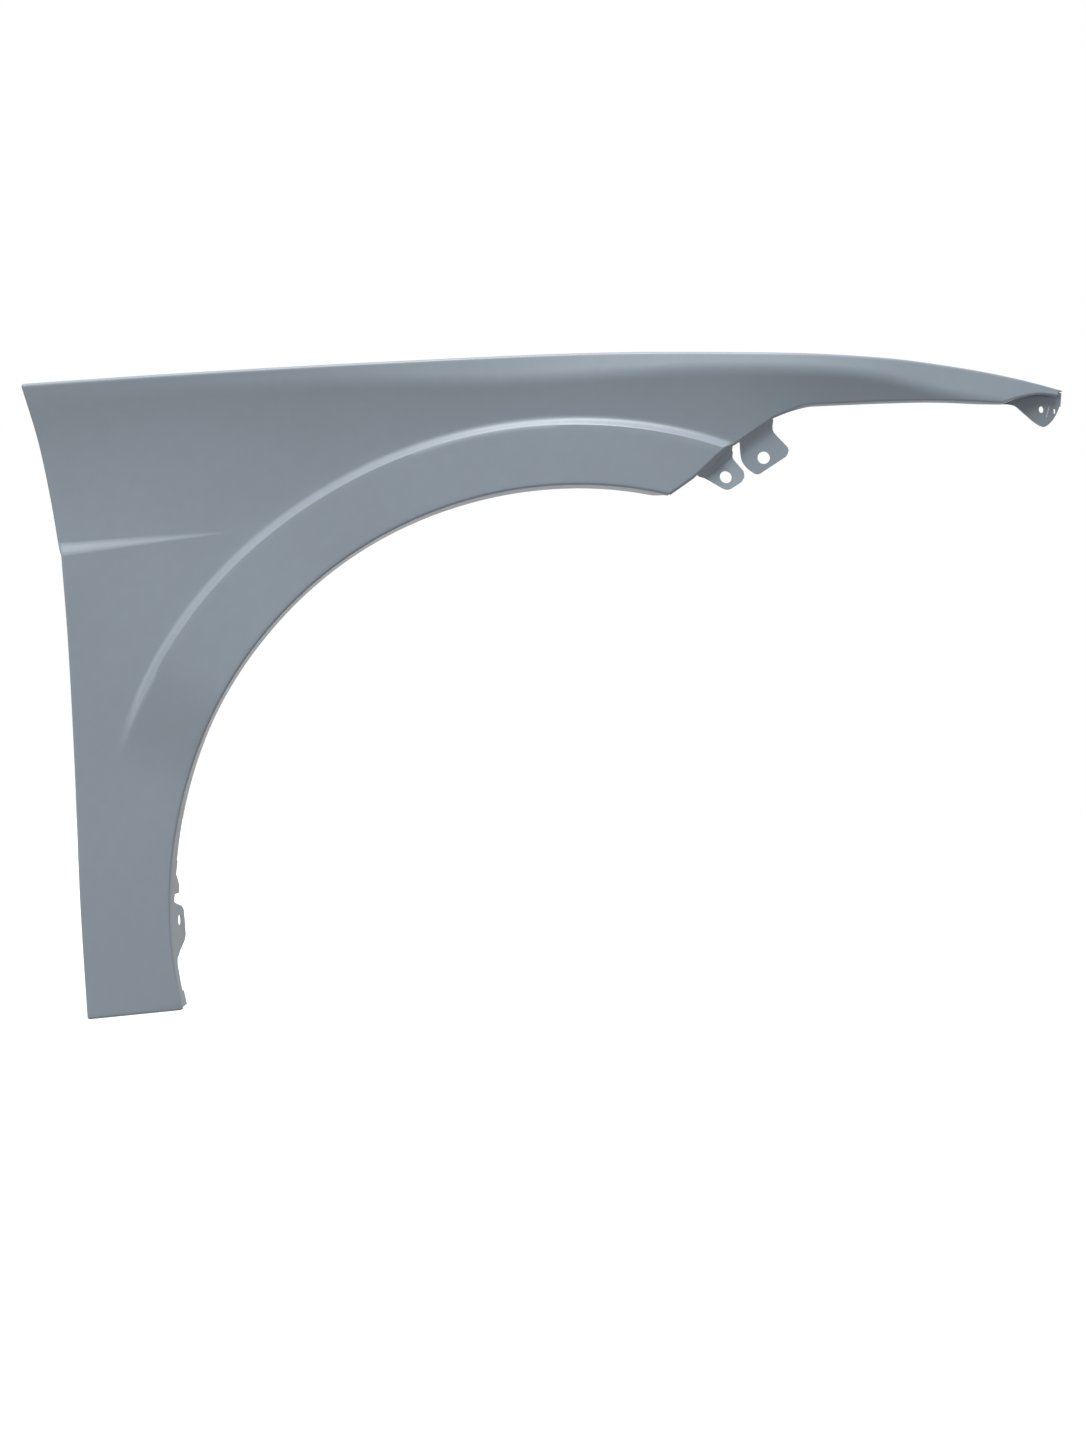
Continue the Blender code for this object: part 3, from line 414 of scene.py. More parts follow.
# Primer: scale, detail and roughness of each noise, the levels between which a noise counts, the
# share of the slow drift in tone and in gloss, and how far those two swing
DRIFT_NOISE = (7.0, 3.0, 0.55)
MOTTLE_NOISE = (90.0, 2.0, 0.5)
SPRAY_NOISE = (900.0, 2.0, 0.6)
NOISE_LOW = 0.30
NOISE_HIGH = 0.70
DRIFT_IN_TONE = 0.7
DRIFT_IN_GLOSS = 0.5
TONE_SWING = 0.03
GLOSS_SWING = 0.03
SPRAY_STRENGTH = 0.06
SPRAY_HEIGHT = 0.0002

# Studio, with angles in degrees. The camera's place is sideways and up from the wheel centre, and
# ahead of the flare's face. The floor has one level for the camera and one for everything else
CAMERA_X = -0.0313
CAMERA_Z = 0.1492
FLARE_FACE_Y = -0.0148
KEY_ELEVATION = 70.0
KEY_AZIMUTH = 5.0
KEY_SPREAD = 35.0
FRONT_ELEVATION = 15.0
FRONT_AZIMUTH = -50.0
FRONT_SPREAD = 35.0
FLOOR_SEEN = 0.9
FLOOR_BOUNCE = 0.20
FLOOR_SIZE = 40.0


def crown():
    return ARCH_RADIUS + CROWN_RISE


def spline(knots, at):
    """Smooth curve through the knots, each a place and a value, held level past both ends."""
    if at <= knots[0][0]:
        return knots[0][1]
    if at >= knots[-1][0]:
        return knots[-1][1]
    last = len(knots) - 1
    k = next(n for n in range(last) if at <= knots[n + 1][0])

    def slope(n):
        before, after = knots[max(n - 1, 0)], knots[min(n + 1, last)]
        return (after[1] - before[1]) / (after[0] - before[0])

    (start, low), (end, high) = knots[k], knots[k + 1]
    span = end - start
    t = (at - start) / span
    rise = 3 * t * t - 2 * t**3
    lead_in = (t - 2 * t * t + t**3) * span * slope(k)
    lead_out = (t**3 - t * t) * span * slope(k + 1)
    return low + (high - low) * rise + lead_in + lead_out


def straight_through(knots, at):
    """The value on straight lines from knot to knot."""
    for (start, low), (end, high) in zip(knots, knots[1:]):
        if at <= end:
            break
    return low + (high - low) * (at - start) / (end - start)


def ease(start, end, at):
    """Goes smoothly from 0 at the start to 1 at the end."""
    t = min(max((at - start) / (end - start), 0.0), 1.0)
    return t * t * (3 - 2 * t)


def height_of(drop):
    return crown() - drop


def angle_of(x, z):
    """Degrees from straight ahead, over the top of the wheel."""
    angle = degrees(atan2(z, x))
    return angle + 360 if angle < -90 else angle


def crease_step_heights():
    """Where the door crease's band starts and ends on the rear edge."""
    return height_of(LEG_TOP[0]), height_of(PILLAR_WIDTH[0][0])


def tightened(fold, x):
    """A fold's radius, which tightens where the skin runs out at the nose."""
    return fold + (NOSE_FOLD - fold) * ease(SPEAR_END, NOSE_REACH, x)


def top_height(x):
    """Where the skin ends below the fold of the top edge."""
    return height_of(spline(TOP_DROP, x)) - tightened(RAIL_FOLD, x)


def shoulder_height(x):
    return height_of(spline(SHOULDER_DROP, x))


def rear_edge(z):
    """X of the rear edge: the leg below the door crease, the pillar side above it."""
    leg_top, pillar_foot = crease_step_heights()
    arch = ARCH_RADIUS - FOLD
    if z <= leg_top:
        return -(arch + spline(LEG_WIDTH + ((leg_top, LEG_TOP[1]),), z))
    if z >= pillar_foot:
        return -(arch + spline([(height_of(drop), width) for drop, width in PILLAR_WIDTH], z))
    t = (z - leg_top) / (pillar_foot - leg_top)
    return -(arch + LEG_TOP[1] * (1 - t) + PILLAR_WIDTH[0][1] * t)


def rear_corner():
    """Where the rear edge meets the top edge."""
    height = top_height(rear_edge(height_of(PILLAR_WIDTH[-1][0])))
    return Vector((rear_edge(height), height))


def land_centres():
    fourth = crease_end(FLARE_BAND, CREASE_HIGH_END).x + CREASE_TO_LAND
    return (rear_corner().x + REAR_LAND_IN, *INNER_LANDS, fourth, FRONT_LAND)


def arch_radius(angle):
    """The arch is a circle that opens a little towards its foot."""
    past = max(angle - ARCH_STRAIGHTENS, 0.0) / (ARCH_FOOT - ARCH_STRAIGHTENS)
    return ARCH_RADIUS + FOLD / 2 + FOOT_OPENING * past**2


def crease_radius(angle):
    return ARCH_RADIUS + spline(FLARE_WIDTH, angle)


def ring(radius, angle):
    return Vector((radius * cos(radians(angle)), radius * sin(radians(angle))))


def crease_end(out, angle):
    """Where a line along the flare's crease runs out on the cut edge."""
    return ring(crease_radius(angle) + out, angle)


def spear_knots():
    """The spear's lower edge by its drop below the crown, from its root at the cut."""
    return ((cut_place(SPEAR_ROOT).x, SPEAR_ROOT[1]), *SPEAR_DROP)


def cut_place(beyond):
    """A place on the cut past the crease."""
    ahead, drop = beyond
    return Vector((crease_end(FLARE_BAND, CREASE_HIGH_END).x + ahead, height_of(drop)))


def side_profile(x, z):
    """Depth of the plain side: tucked in at the foot, undercut below the shoulder, leaning above it."""
    waist = height_of(WAIST_DROP)
    undercut = UNDERCUT_CURVE * (1 + (NOSE_UNDERCUT - 1) * ease(*UNDERCUT_TIGHTENS, x))
    shoulder = shoulder_height(x)
    bend = z - shoulder
    above = max(min(z, shoulder) - waist, 0.0)
    below = max(waist - z, 0.0)
    span = shoulder - waist
    shoulder_slope = -3 * undercut * span
    lean = REAR_LEAN + (FRONT_LEAN - REAR_LEAN) * ease(*LEAN_TURNS, x)
    depth = TUCK_CURVE * below**2 - undercut * above**3 / span
    depth += shoulder_slope * max(bend, 0.0)
    if bend >= SHOULDER_SOFTNESS:
        ramp = bend
    else:
        ramp = max(bend + SHOULDER_SOFTNESS, 0.0) ** 2 / (4 * SHOULDER_SOFTNESS)
    return depth + (tan(radians(lean)) - shoulder_slope) * ramp


def door_crease(x, z):
    """Depth that the door crease takes off: the skin below stands proud, most at the rear edge."""
    rear = -(ARCH_RADIUS + PILLAR_WIDTH[0][1])
    reach = min(max((rear + DOOR_CREASE_LENGTH - x) / DOOR_CREASE_LENGTH, 0.0), 1.0)
    if reach == 0.0:
        return 0.0
    top = height_of(PILLAR_WIDTH[0][0]) + DOOR_CREASE_RISE * (1 - reach)
    band = (LEG_TOP[0] - PILLAR_WIDTH[0][0]) * reach
    if z >= top:
        return 0.0
    step = DOOR_CREASE_STEP * reach**DOOR_CREASE_POWER
    if z >= top - band:
        return step * (top - z) / band
    return step * (1 - ease(0.0, DOOR_CREASE_FADE, top - band - z))


def plan_sweep(x):
    """How far the side falls back inboard towards the nose and, much less, towards the door."""
    if x > 0:
        return NOSE_SWEEP * (x / NOSE_REACH) ** NOSE_SWEEP_POWER
    rear = -(ARCH_RADIUS + PILLAR_WIDTH[-1][1])
    return REAR_SWEEP * (max(REAR_SWEEP_FROM - x, 0.0) / (REAR_SWEEP_FROM - rear)) ** 2


def flare_step(beyond):
    """The band's form, from 1 at the flare's face to 0 on the plain side: a crisp foot, a straight
    slope and a soft top."""
    steep, soft = FLARE_STEEPNESS, FLARE_EDGE_SOFTNESS
    straight_end = 2 / steep - 1
    if beyond <= -soft:
        return 1.0
    if beyond < soft:
        return 1 - steep * (beyond + soft) ** 2 / (4 * soft)
    if beyond < straight_end:
        return 1 - steep * beyond
    return steep / (2 * (1 - straight_end)) * (1 - beyond) ** 2


def skin_depth(x, z):
    """How far inboard the outer face lies at a place on the side view."""
    angle = angle_of(x, z)
    radius = hypot(x, z)
    crease = crease_radius(angle)
    depth = side_profile(x, z) + plan_sweep(x) - door_crease(x, z)
    proud = 1 - ease(FLARE_FADES, FLARE_ENDS, angle)
    beyond = (radius - crease) / FLARE_BAND
    if beyond >= 1 or proud == 0:
        return depth
    more = FLARE_STEP_MORE * (1 - ease(*FLARE_STEP_TURNS, angle))
    step = proud * (FLARE_STEP + more) * flare_step(beyond)
    if beyond > 0:
        return depth - step
    level = side_profile(x, crease * sin(radians(angle)))
    return depth + proud * (level - side_profile(x, z)) - step


def on_skin(point):
    x, z = point
    return Vector((x, skin_depth(x, z), z))


class Sheet:
    """An open surface of quads. Lofts that share a section share its corners."""

    def __init__(self):
        self.mesh = bmesh.new()
        self.corners = {}

    def corner(self, place):
        key = tuple(round(value, 6) for value in place)
        if key not in self.corners:
            self.corners[key] = self.mesh.verts.new(place)
        return self.corners[key]

    def loft(self, sections):
        """Skins sections of equally many places, each further out than the one before."""
        rows = [[self.corner(place) for place in section] for section in sections]
        for near, far in zip(rows, rows[1:]):
            for k in range(len(near) - 1):
                ring_of_corners = (near[k], near[k + 1], far[k + 1], far[k])
                self.mesh.faces.new(tuple(dict.fromkeys(ring_of_corners)))


class Profile:
    """A flange's section, drawn from the rim: across runs past the skin, inboard turns behind it."""

    def __init__(self, heading):
        self.heading = heading
        self.points = [(0.0, 0.0)]

    def straight(self, length, steps=1):
        for _ in range(steps):
            across, inboard = self.points[-1]
            across += length / steps * cos(self.heading)
            inboard += length / steps * sin(self.heading)
            self.points.append((across, inboard))
        return self

    def bend(self, radius, turn, steps=BEND_STEPS):
        """Turns by an angle in radians, inboard if it is positive."""
        chord = 2 * radius * sin(abs(turn) / (2 * steps))
        for _ in range(steps):
            self.heading += turn / (2 * steps)
            self.straight(chord)
            self.heading += turn / (2 * steps)
        return self


class RimPoint(NamedTuple):
    """A place on a rim, the directions past the skin and inboard, and the skin's own slope there."""

    place: Vector
    across: Vector
    inboard: Vector
    heading: float

    def reach(self, across, inboard):
        return self.place + self.across * across + self.inboard * inboard


def walk_rim(points):
    """Frames along a rim that is walked clockwise."""
    places = [on_skin(point) for point in points]
    frames = []
    for k, place in enumerate(places):
        tangent = (places[min(k + 1, len(places) - 1)] - places[max(k - 1, 0)]).normalized()
        sweep_rise = plan_sweep(place.x + SLOPE_STEP) - plan_sweep(place.x - SLOPE_STEP)
        inboard = Vector((-sweep_rise / (2 * SLOPE_STEP), 1.0, 0.0))
        inboard = (inboard - tangent * inboard.dot(tangent)).normalized()
        across = tangent.cross(inboard)
        behind = place - across * SLOPE_BACK
        rise = place.y - skin_depth(behind.x, behind.z) - across.y * SLOPE_BACK
        slope = rise / SLOPE_BACK
        frames.append(RimPoint(place, across, inboard, atan(slope)))
    return frames


def rows_of(frames, profiles):
    """Rows of places, one row for each point of the profiles."""
    rows = []
    for k in range(len(profiles[0].points)):
        rows.append([frame.reach(*profile.points[k]) for frame, profile in zip(frames, profiles)])
    return rows


def sweep(sheet, frames, profiles):
    """Lofts one profile for each frame and returns its rows of places."""
    rows = rows_of(frames, profiles)
    sheet.loft(rows)
    return rows


def spaced(keys):
    """Stations between keys. Each key is a value and how many coarse rows lead on to the next."""
    stations = []
    for (value, steps), (following, _) in zip(keys, keys[1:]):
        steps *= FINE
        stations += [value + (following - value) * k / steps for k in range(steps)]
    return stations + [keys[-1][0]]


def between(start, end, rises):
    return [Vector(start).lerp(Vector(end), rise) for rise in rises]


def even(steps):
    return [k / steps for k in range(steps + 1)]


def blended_patch(low, high, left, right, rises):
    """Fills four sides: straight columns from low to high, bent to follow the sides left and right."""
    rows = []
    for j, rise in enumerate(rises):
        left_shift = left[j] - low[0].lerp(high[0], rise)
        right_shift = right[j] - low[-1].lerp(high[-1], rise)
        row = []
        for i, (start, end) in enumerate(zip(low, high)):
            along = i / (len(low) - 1)
            row.append(start.lerp(end, rise) + left_shift * (1 - along) + right_shift * along)
        rows.append(row)
    return rows


def rounded(point, start, corner, stop):
    """The place at the same station on a curve that rounds a corner from start to stop."""
    if not start.x < point.x < stop.x:
        return point
    bow = start.x - 2 * corner.x + stop.x
    lead = corner.x - start.x
    root = (lead * lead + bow * (point.x - start.x)) ** 0.5
    t = (point.x - start.x) / (lead + root)
    return start * (1 - t) ** 2 + corner * (2 * t * (1 - t)) + stop * t**2


class Layout:
    """The side view's grid lines, each a list of places that run clockwise from foot to nose."""

    def __init__(self):
        foot_height = LEG_WIDTH[0][0] + FOLD
        self.rear_foot = Vector((rear_edge(foot_height), foot_height))
        self.arch_foot = ring(arch_radius(ARCH_FOOT), ARCH_FOOT)
        rear_top = rear_corner().y
        leg_top, pillar_foot = crease_step_heights()
        rear_keys = [
            (self.rear_foot.y, 1),
            (self.rear_foot.y + CORNER_GAP, LEG_ROWS),
            (leg_top - DOOR_EDGE, 1),
            (leg_top, 1),
            (pillar_foot, 1),
            (pillar_foot + DOOR_EDGE, PILLAR_ROWS),
            (rear_top - CORNER_GAP, 1),
            (rear_top, 0),
        ]
        self.rear_steps = sum(steps for _, steps in rear_keys)
        self.rear_count = self.rear_steps * FINE
        rear = [Vector((rear_edge(z), z)) for z in spaced(rear_keys)]
        land_edges = [at + side * LAND_HALF_WIDTH for at in land_centres() for side in (-1, 1)]
        top_keys = [(rear[-1].x, 1), (rear[-1].x + RAIL_START_IN, 1)]
        top_keys += zip(land_edges[:6], TOP_LAND_ROWS)
        top_keys.append((crease_end(FLARE_BAND, CREASE_HIGH_END).x + SPEAR_GRID_AHEAD, 0))
        self.top = [Vector((x, top_height(x))) for x in spaced(top_keys)]
        self.outer = rear + self.top[1:]
        self.outer_count = len(self.outer) - 1
        spear_keys = [(self.top[-1].x, 4)]
        spear_keys += zip(land_edges[6:], SPEAR_LAND_ROWS)
        spear_keys += [(RAIL_END, 3), (NOSE_GRID_FROM, 6), (NOSE_GRID_LAST, 1), (NOSE_REACH, 0)]
        self.spear_top = [Vector((x, top_height(x))) for x in spaced(spear_keys)]
        self.spear_count = len(self.spear_top) - 1

    def fan(self, front):
        """Angles at which the grid lines cross a ring, from the foot to the given front angle."""
        below = LEG_ROWS + 1
        edge = FAN_STEP + DOOR_EDGE_FAN
        keys = [
            (ARCH_FOOT, below),
            (FAN_TO_DOOR + edge, 1),
            (FAN_TO_DOOR + FAN_STEP, 1),
            (FAN_TO_DOOR - FAN_STEP, 1),
            (FAN_TO_DOOR - edge, self.rear_steps - below - 3),
            (FAN_TO_CORNER, self.outer_count // FINE - self.rear_steps),
            (front, 0),
        ]
        return spaced(keys)

    def foot_point(self, x):
        share = (self.arch_foot.x - x) / (self.arch_foot.x - self.rear_foot.x)
        return self.arch_foot.lerp(self.rear_foot, share)

    def arch(self):
        return [ring(arch_radius(angle), angle) for angle in self.fan(ARCH_FRONT)]

    def crease(self, out, front):
        """A line along the flare's crease, which drifts to mid-leg once the crease has faded."""
        line = []
        for angle in self.fan(front):
            drift = LEG_DRIFT * ease(FLARE_ENDS, LEG_DRIFTS_FROM, angle)
            line.append(ring(crease_radius(angle) + out - drift, angle))
        return [self.foot_point(line[0].x)] + line[1:]

    def inner(self, outer):
        """A line inside the outer edge: a margin along the rear edge, the shoulder below the top."""
        corner = outer[self.rear_count]
        foot = self.foot_point(self.rear_foot.x + REAR_MARGIN)
        leg_top, pillar_foot = crease_step_heights()
        rise = DOOR_CREASE_RISE * REAR_MARGIN / DOOR_CREASE_LENGTH
        narrows = (pillar_foot - leg_top) * REAR_MARGIN / DOOR_CREASE_LENGTH
        heights = (
            (self.rear_foot.y, foot.y),
            (leg_top, leg_top + rise + narrows),
            (pillar_foot, pillar_foot + rise),
            (corner.y, shoulder_height(corner.x)),
        )
        line = []
        for k, point in enumerate(outer):
            if k <= self.rear_count:
                line.append(Vector((point.x + REAR_MARGIN, straight_through(heights, point.y))))
            else:
                near = 1 - ease(0.0, SHOULDER_MARGIN_FADES, point.x - corner.x)
                line.append(Vector((point.x + REAR_MARGIN * near, shoulder_height(point.x))))
        return [foot] + line[1:]

    def cut(self):
        """The cut edge from the arch to the crease, one place for each row of the flare's face."""
        foot = ring(ARCH_RADIUS + CUT_FOOT_OUT, CUT_FOOT_ANGLE)
        end = crease_end(0.0, CREASE_LOW_END)
        start = ring(arch_radius(ARCH_FRONT), ARCH_FRONT)
        half = FLARE_ROWS // 2
        return between(start, foot, even(half)) + between(foot, end, even(FLARE_ROWS - half))[1:]

    def spear_low(self):
        """The cut edge past the crease, then the spear's lower edge and the front edge to the nose."""
        end = crease_end(FLARE_BAND, CREASE_HIGH_END)
        shoulder = cut_place(CUT_SHOULDER)
        drops = spear_knots()
        root = self.spear_edge(drops[0][0], drops)
        line = [end] + between(end.lerp(shoulder, CUT_GRID_START), shoulder, even(CUT_ROWS * FINE))
        line += between(shoulder, root, even(ROOT_ROWS * FINE))[1:]
        nose = FRONT_DROP[-1][0]
        ahead = [point.x for point in self.spear_top if point.x > SPEAR_END]
        steps = self.spear_count - len(line) - len(ahead) + 2
        for share in even(steps)[1:]:
            line.append(self.spear_edge(root.x + (SPEAR_END - root.x) * share, drops))
        for x in ahead[1:]:
            share = (x - ahead[0]) / (ahead[-1] - ahead[0])
            line.append(self.spear_edge(SPEAR_END + (nose - SPEAR_END) * share, FRONT_DROP))
        before, past = SPEAR_ROOT_ROUND
        start = root + (shoulder - root).normalized() * before
        stop = self.spear_edge(root.x + past, drops)
        return [rounded(point, start, root, stop) for point in line]

    def spear_edge(self, x, drops):
        """Where the skin ends above the spear's return."""
        return Vector((x, height_of(spline(drops, x)) + SPEAR_INSET * tightened(FOLD, x)))


def press_skin(sheet, layout):
    """The outer face, in six lofts, and the rims that its flanges start from."""
    arch = layout.arch()
    crease_low = layout.crease(0.0, CREASE_LOW_END)
    crease_high = layout.crease(FLARE_BAND, CREASE_HIGH_END)
    outer = layout.outer
    inner = layout.inner(outer)
    cut = layout.cut()
    spear_low = layout.spear_low()
    spear_inner = []
    for low, high in zip(spear_low, layout.spear_top):
        height = max(shoulder_height(high.x), low.y + (high.y - low.y) * SPEAR_LEAST_RISE)
        share = (height - low.y) / (high.y - low.y)
        spear_inner.append(low.lerp(high, share))
    shift, last = inner[-1] - spear_inner[0], len(spear_inner) - 1
    spear_inner = [point + shift * (1 - k / last) for k, point in enumerate(spear_inner)]

    side, shoulder = even(SIDE_ROWS), even(SHOULDER_ROWS)
    blocks = [
        (arch, crease_low, even(FLARE_ROWS), cut),
        (crease_low, crease_high, even(BAND_ROWS), None),
        (crease_high, inner, side, None),
        (inner, outer, shoulder, None),
        (spear_low, spear_inner, side, None),
        (spear_inner, layout.spear_top, shoulder, None),
    ]
    foot = []
    cut_rim = list(cut)
    for low, high, rises, right in blocks:
        left = between(low[0], high[0], rises)
        right = right or between(low[-1], high[-1], rises)
        rows = blended_patch(low, high, left, right, rises)
        sheet.loft([[on_skin(point) for point in row] for row in rows])
        if low in (arch, crease_low, crease_high, inner):
            foot += [row[0] for row in rows[1:]]
        if low is crease_low:
            cut_rim += [row[-1] for row in rows[1:]]
    return {
        "arch": arch[::-1],
        "foot": [arch[0]] + foot,
        "rear": outer[: layout.rear_count + 1],
        "top": outer[layout.rear_count :] + layout.spear_top[1:],
        "front": (cut_rim[:-1] + spear_low)[::-1],
    }


def fold_corner(sheet, first, second, folds, turns):
    """A ball-shaped corner between two folds that meet at a place. The flanges beyond stay apart."""
    turned = first.across.cross(second.across).dot(first.inboard)
    angle = atan2(turned, first.across.dot(second.across))
    frames = []
    profiles = []
    for share in even(CORNER_STEPS):
        across = Matrix.Rotation(angle * share, 3, first.inboard) @ first.across
        heading = first.heading + (second.heading - first.heading) * share
        frames.append(RimPoint(first.place, across, first.inboard, heading))
    frames[-1] = second
    for share, frame in zip(even(CORNER_STEPS), frames):
        fold = folds[0] + (folds[1] - folds[0]) * share
        turn = radians(turns[0] + (turns[1] - turns[0]) * share)
        profiles.append(Profile(frame.heading).bend(fold, turn - frame.heading))
    sweep(sheet, frames, profiles)


def flange(frame, depth, turn=90.0, rows=1):
    """The section of a plain flange that stands at a turn in degrees, measured deep from the skin."""
    profile = Profile(frame.heading).bend(FOLD, radians(turn) - frame.heading)
    return profile.straight(depth - FOLD, rows)


def fold_arch(sheet, frames):
    """The flange round the wheel opening, deeper where the liner tabs are trimmed out of it."""
    profiles = []
    for frame in frames:
        angle = angle_of(frame.place.x, frame.place.z)
        low = frame.place.x < 0 and LINER_TAB_BOTTOM <= frame.place.z <= LINER_TAB_TOP
        depth = LINER_TAB_DEPTH if low else ARCH_FLANGE
        tapered = 1 - ease(ARCH_FRONT, ARCH_FRONT + ARCH_END_TAPER, angle)
        depth -= (depth - ARCH_END_FLANGE) * tapered
        profiles.append(flange(frame, depth, 90 - spline(ARCH_DRAFT, angle), WALL_ROWS))
    sweep(sheet, frames, profiles)


def fold_rear(sheet, frames):
    """The return along the door gap, with a deeper bolt land near its top."""
    profiles = []
    for frame in frames:
        at_bolt = abs(frame.place.z - height_of(REAR_BOLT_DROP)) <= REAR_BOLT_HALF_WIDTH
        profiles.append(flange(frame, REAR_BOLT_TAB if at_bolt else REAR_RETURN))
    sweep(sheet, frames, profiles)


def fold_foot(sheet, frames):
    """The flange under the leg, bolted to the sill."""
    sweep(sheet, frames, [flange(frame, BOTTOM_FLANGE) for frame in frames])


def root_spans(count):
    """Which places of the front rim the lower and the upper bolt tab stand on."""
    crease = count - 1 - FLARE_ROWS - BAND_ROWS
    return range(crease + 2, count - FLARE_ROWS // 2 - 1), range(crease - 1 - CUT_ROWS * FINE, crease)


def fold_front(sheet, frames):
    """The narrow return along the headlamp cut, the spear and the front edge. Gives its last row."""
    cut_end, turned = cut_place(CUT_SHOULDER).x, cut_place(SPEAR_ROOT).x + CUT_TURN_PAST_ROOT
    profiles = []
    for frame in frames:
        x = frame.place.x
        on_cut = 1 - ease(cut_end, turned, x)
        depth = SPEAR_RETURN + (NOSE_RETURN - SPEAR_RETURN) * ease(*NOSE_RETURN_TURNS, x)
        depth += (CUT_RETURN + FOLD - depth) * on_cut
        turn = SPEAR_RETURN_TURN + (CUT_TURN - SPEAR_RETURN_TURN) * on_cut
        fold = tightened(FOLD, x)
        profile = Profile(frame.heading * (1 - on_cut))
        profiles.append(profile.bend(fold, radians(turn) - profile.heading).straight(depth - fold))
    return sweep(sheet, frames, profiles)[-1]


def rail_height(x):
    """The shelf is level on each bolt land and runs straight from land to land."""
    knots = []
    for at in land_centres():
        level = top_height(at) - RAIL_DROP
        knots += [(at - LAND_HALF_WIDTH, level), (at + LAND_HALF_WIDTH, level)]
    if x <= knots[0][0]:
        return knots[0][1]
    for (start, low), (end, high) in zip(knots, knots[1:]):
        if x <= end + TOUCH:
            return low + (high - low) * max(x - start, 0.0) / (end - start)
    return knots[-1][1]


def shelf_depth(x):
    on_land = any(abs(x - at) <= LAND_HALF_WIDTH + TOUCH for at in land_centres())
    return LAND_DEPTH if on_land else SHELF_DEPTH


def ledge_width(x):
    return RAIL_LEDGE + (NOSE_LEDGE - RAIL_LEDGE) * ease(SPEAR_END, NOSE_REACH, x)


def wall_depth(frame):
    """From a place on the top edge inboard to the outer face of the rail's wall."""
    x = frame.place.x
    return tightened(RAIL_FOLD, x) * (1 - sin(frame.heading)) + ledge_width(x) + tightened(FOLD, x)


def rail_profile(frame, level, shelf):
    """Over the top edge, along the ledge and down the wall to a level, then out to any shelf."""
    profile = Profile(frame.heading)
    profile.bend(tightened(RAIL_FOLD, frame.place.x), radians(90) - frame.heading)
    profile.straight(ledge_width(frame.place.x))
    profile.bend(tightened(FOLD, frame.place.x), radians(90))
    fall = profile.points[-1][0] - (level - frame.place.z) / frame.across.z
    profile.straight(fall - FOLD, WALL_ROWS)
    return profile.bend(FOLD, -radians(90)).straight(shelf) if shelf else profile


def fold_rail(sheet, frames):
    """The hood rail and, past its end, the nose tab with a lip folded back behind its edge."""
    rail = [frame for frame in frames if frame.place.x <= RAIL_END + TOUCH]
    nose = frames[len(rail) - 1 :]
    profiles = [rail_profile(f, rail_height(f.place.x), shelf_depth(f.place.x)) for f in rail]
    rows = rows_of(rail, profiles)
    ledge = BEND_STEPS + 2
    start = rail[0].place.x + RAIL_START_IN - TOUCH
    behind_corner = sum(frame.place.x < start for frame in rail)
    sheet.loft(rows[:ledge])
    sheet.loft([row[behind_corner:] for row in rows[ledge - 1 :]])
    tip = nose[-1]
    forward = tip.inboard.cross(tip.across)
    nose += [tip._replace(place=tip.place + forward * ahead) for ahead in NOSE_TAB_AHEAD]
    levels = [rail_height(RAIL_END)]
    for frame in nose[1:]:
        wall = frame.reach(0.0, wall_depth(frame))
        levels.append(height_of(spline(NOSE_TAB_DROP, wall.x)) - FOLD)
    rows = rows_of(nose, [rail_profile(frame, level, None) for frame, level in zip(nose, levels)])
    past_tip = len(NOSE_TAB_AHEAD)
    sheet.loft([row[:-past_tip] for row in rows[: BEND_STEPS + 1]])
    sheet.loft([row[:-1] for row in rows[BEND_STEPS:-WALL_ROWS]])
    sheet.loft(rows[-WALL_ROWS - 1 :])
    fold_lip(sheet, [row[-1] for row in rows[-1 : -WALL_ROWS - 2 : -1]], forward, tip.inboard)


def fold_lip(sheet, edge, ahead, inboard):
    """A lip that turns right round behind the front edge of the nose tab."""
    profile = Profile(0.0).bend(NOSE_LIP_FOLD, radians(180), 2 * BEND_STEPS).straight(NOSE_LIP)
    rows = []
    for out, back in profile.points:
        rows.append([place + ahead * out + inboard * back for place in edge])
    sheet.loft(rows)


def tab_frame(root):
    """The tab's own directions: along its root, out past it, and inboard."""
    along = (root[0] - root[-1]).normalized()
    inboard = Vector((0.0, 1.0, 0.0))
    inboard = (inboard - along * inboard.dot(along)).normalized()
    turned = Matrix((along, inboard.cross(along), inboard)).transposed().to_4x4()
    return Matrix.Translation(root[-1]) @ turned


def tab_row(frame, tab, left_out, right_out, depth, steps):
    """One row of places across a tab, from its right side to its left."""
    left = Vector((spline(tab.left, left_out), left_out, depth))
    right = Vector((spline(tab.right, right_out), right_out, depth))
    return [frame @ place for place in between(right, left, even(steps))]


def fold_tab(sheet, root, tab):
    """A bolt tab set back by a joggle: a sloping wall, then a plate. Gives back its hole's frame."""
    frame = tab_frame(root)
    turn = radians(CUT_TURN)
    profile = Profile(turn).straight(tab.wall, TAB_WALL_ROWS)
    profile.bend(tab.second_fold, -turn, TAB_FOLD_ROWS)
    steps = len(root) - 1
    rows = [root]
    rows += [tab_row(frame, tab, out, out, depth, steps) for out, depth in profile.points[1:]]
    fold_end, depth = profile.points[-1]
    for share in even(TAB_PLATE_ROWS)[1:]:
        slowed = sin(pi / 2 * share)
        left_out, right_out = (fold_end + (reach - fold_end) * slowed for reach in tab.reach)
        rows.append(tab_row(frame, tab, left_out, right_out, depth, steps))
    sheet.loft(rows)
    return frame @ Matrix.Translation((*tab.hole, depth))


def tab_roots(folded):
    """The bolt tabs with the stretches of the front return's last row that they start from."""
    spans = root_spans(len(folded))
    return [(tab, [folded[k] for k in span]) for tab, span in zip((LOWER_TAB, UPPER_TAB), spans)]


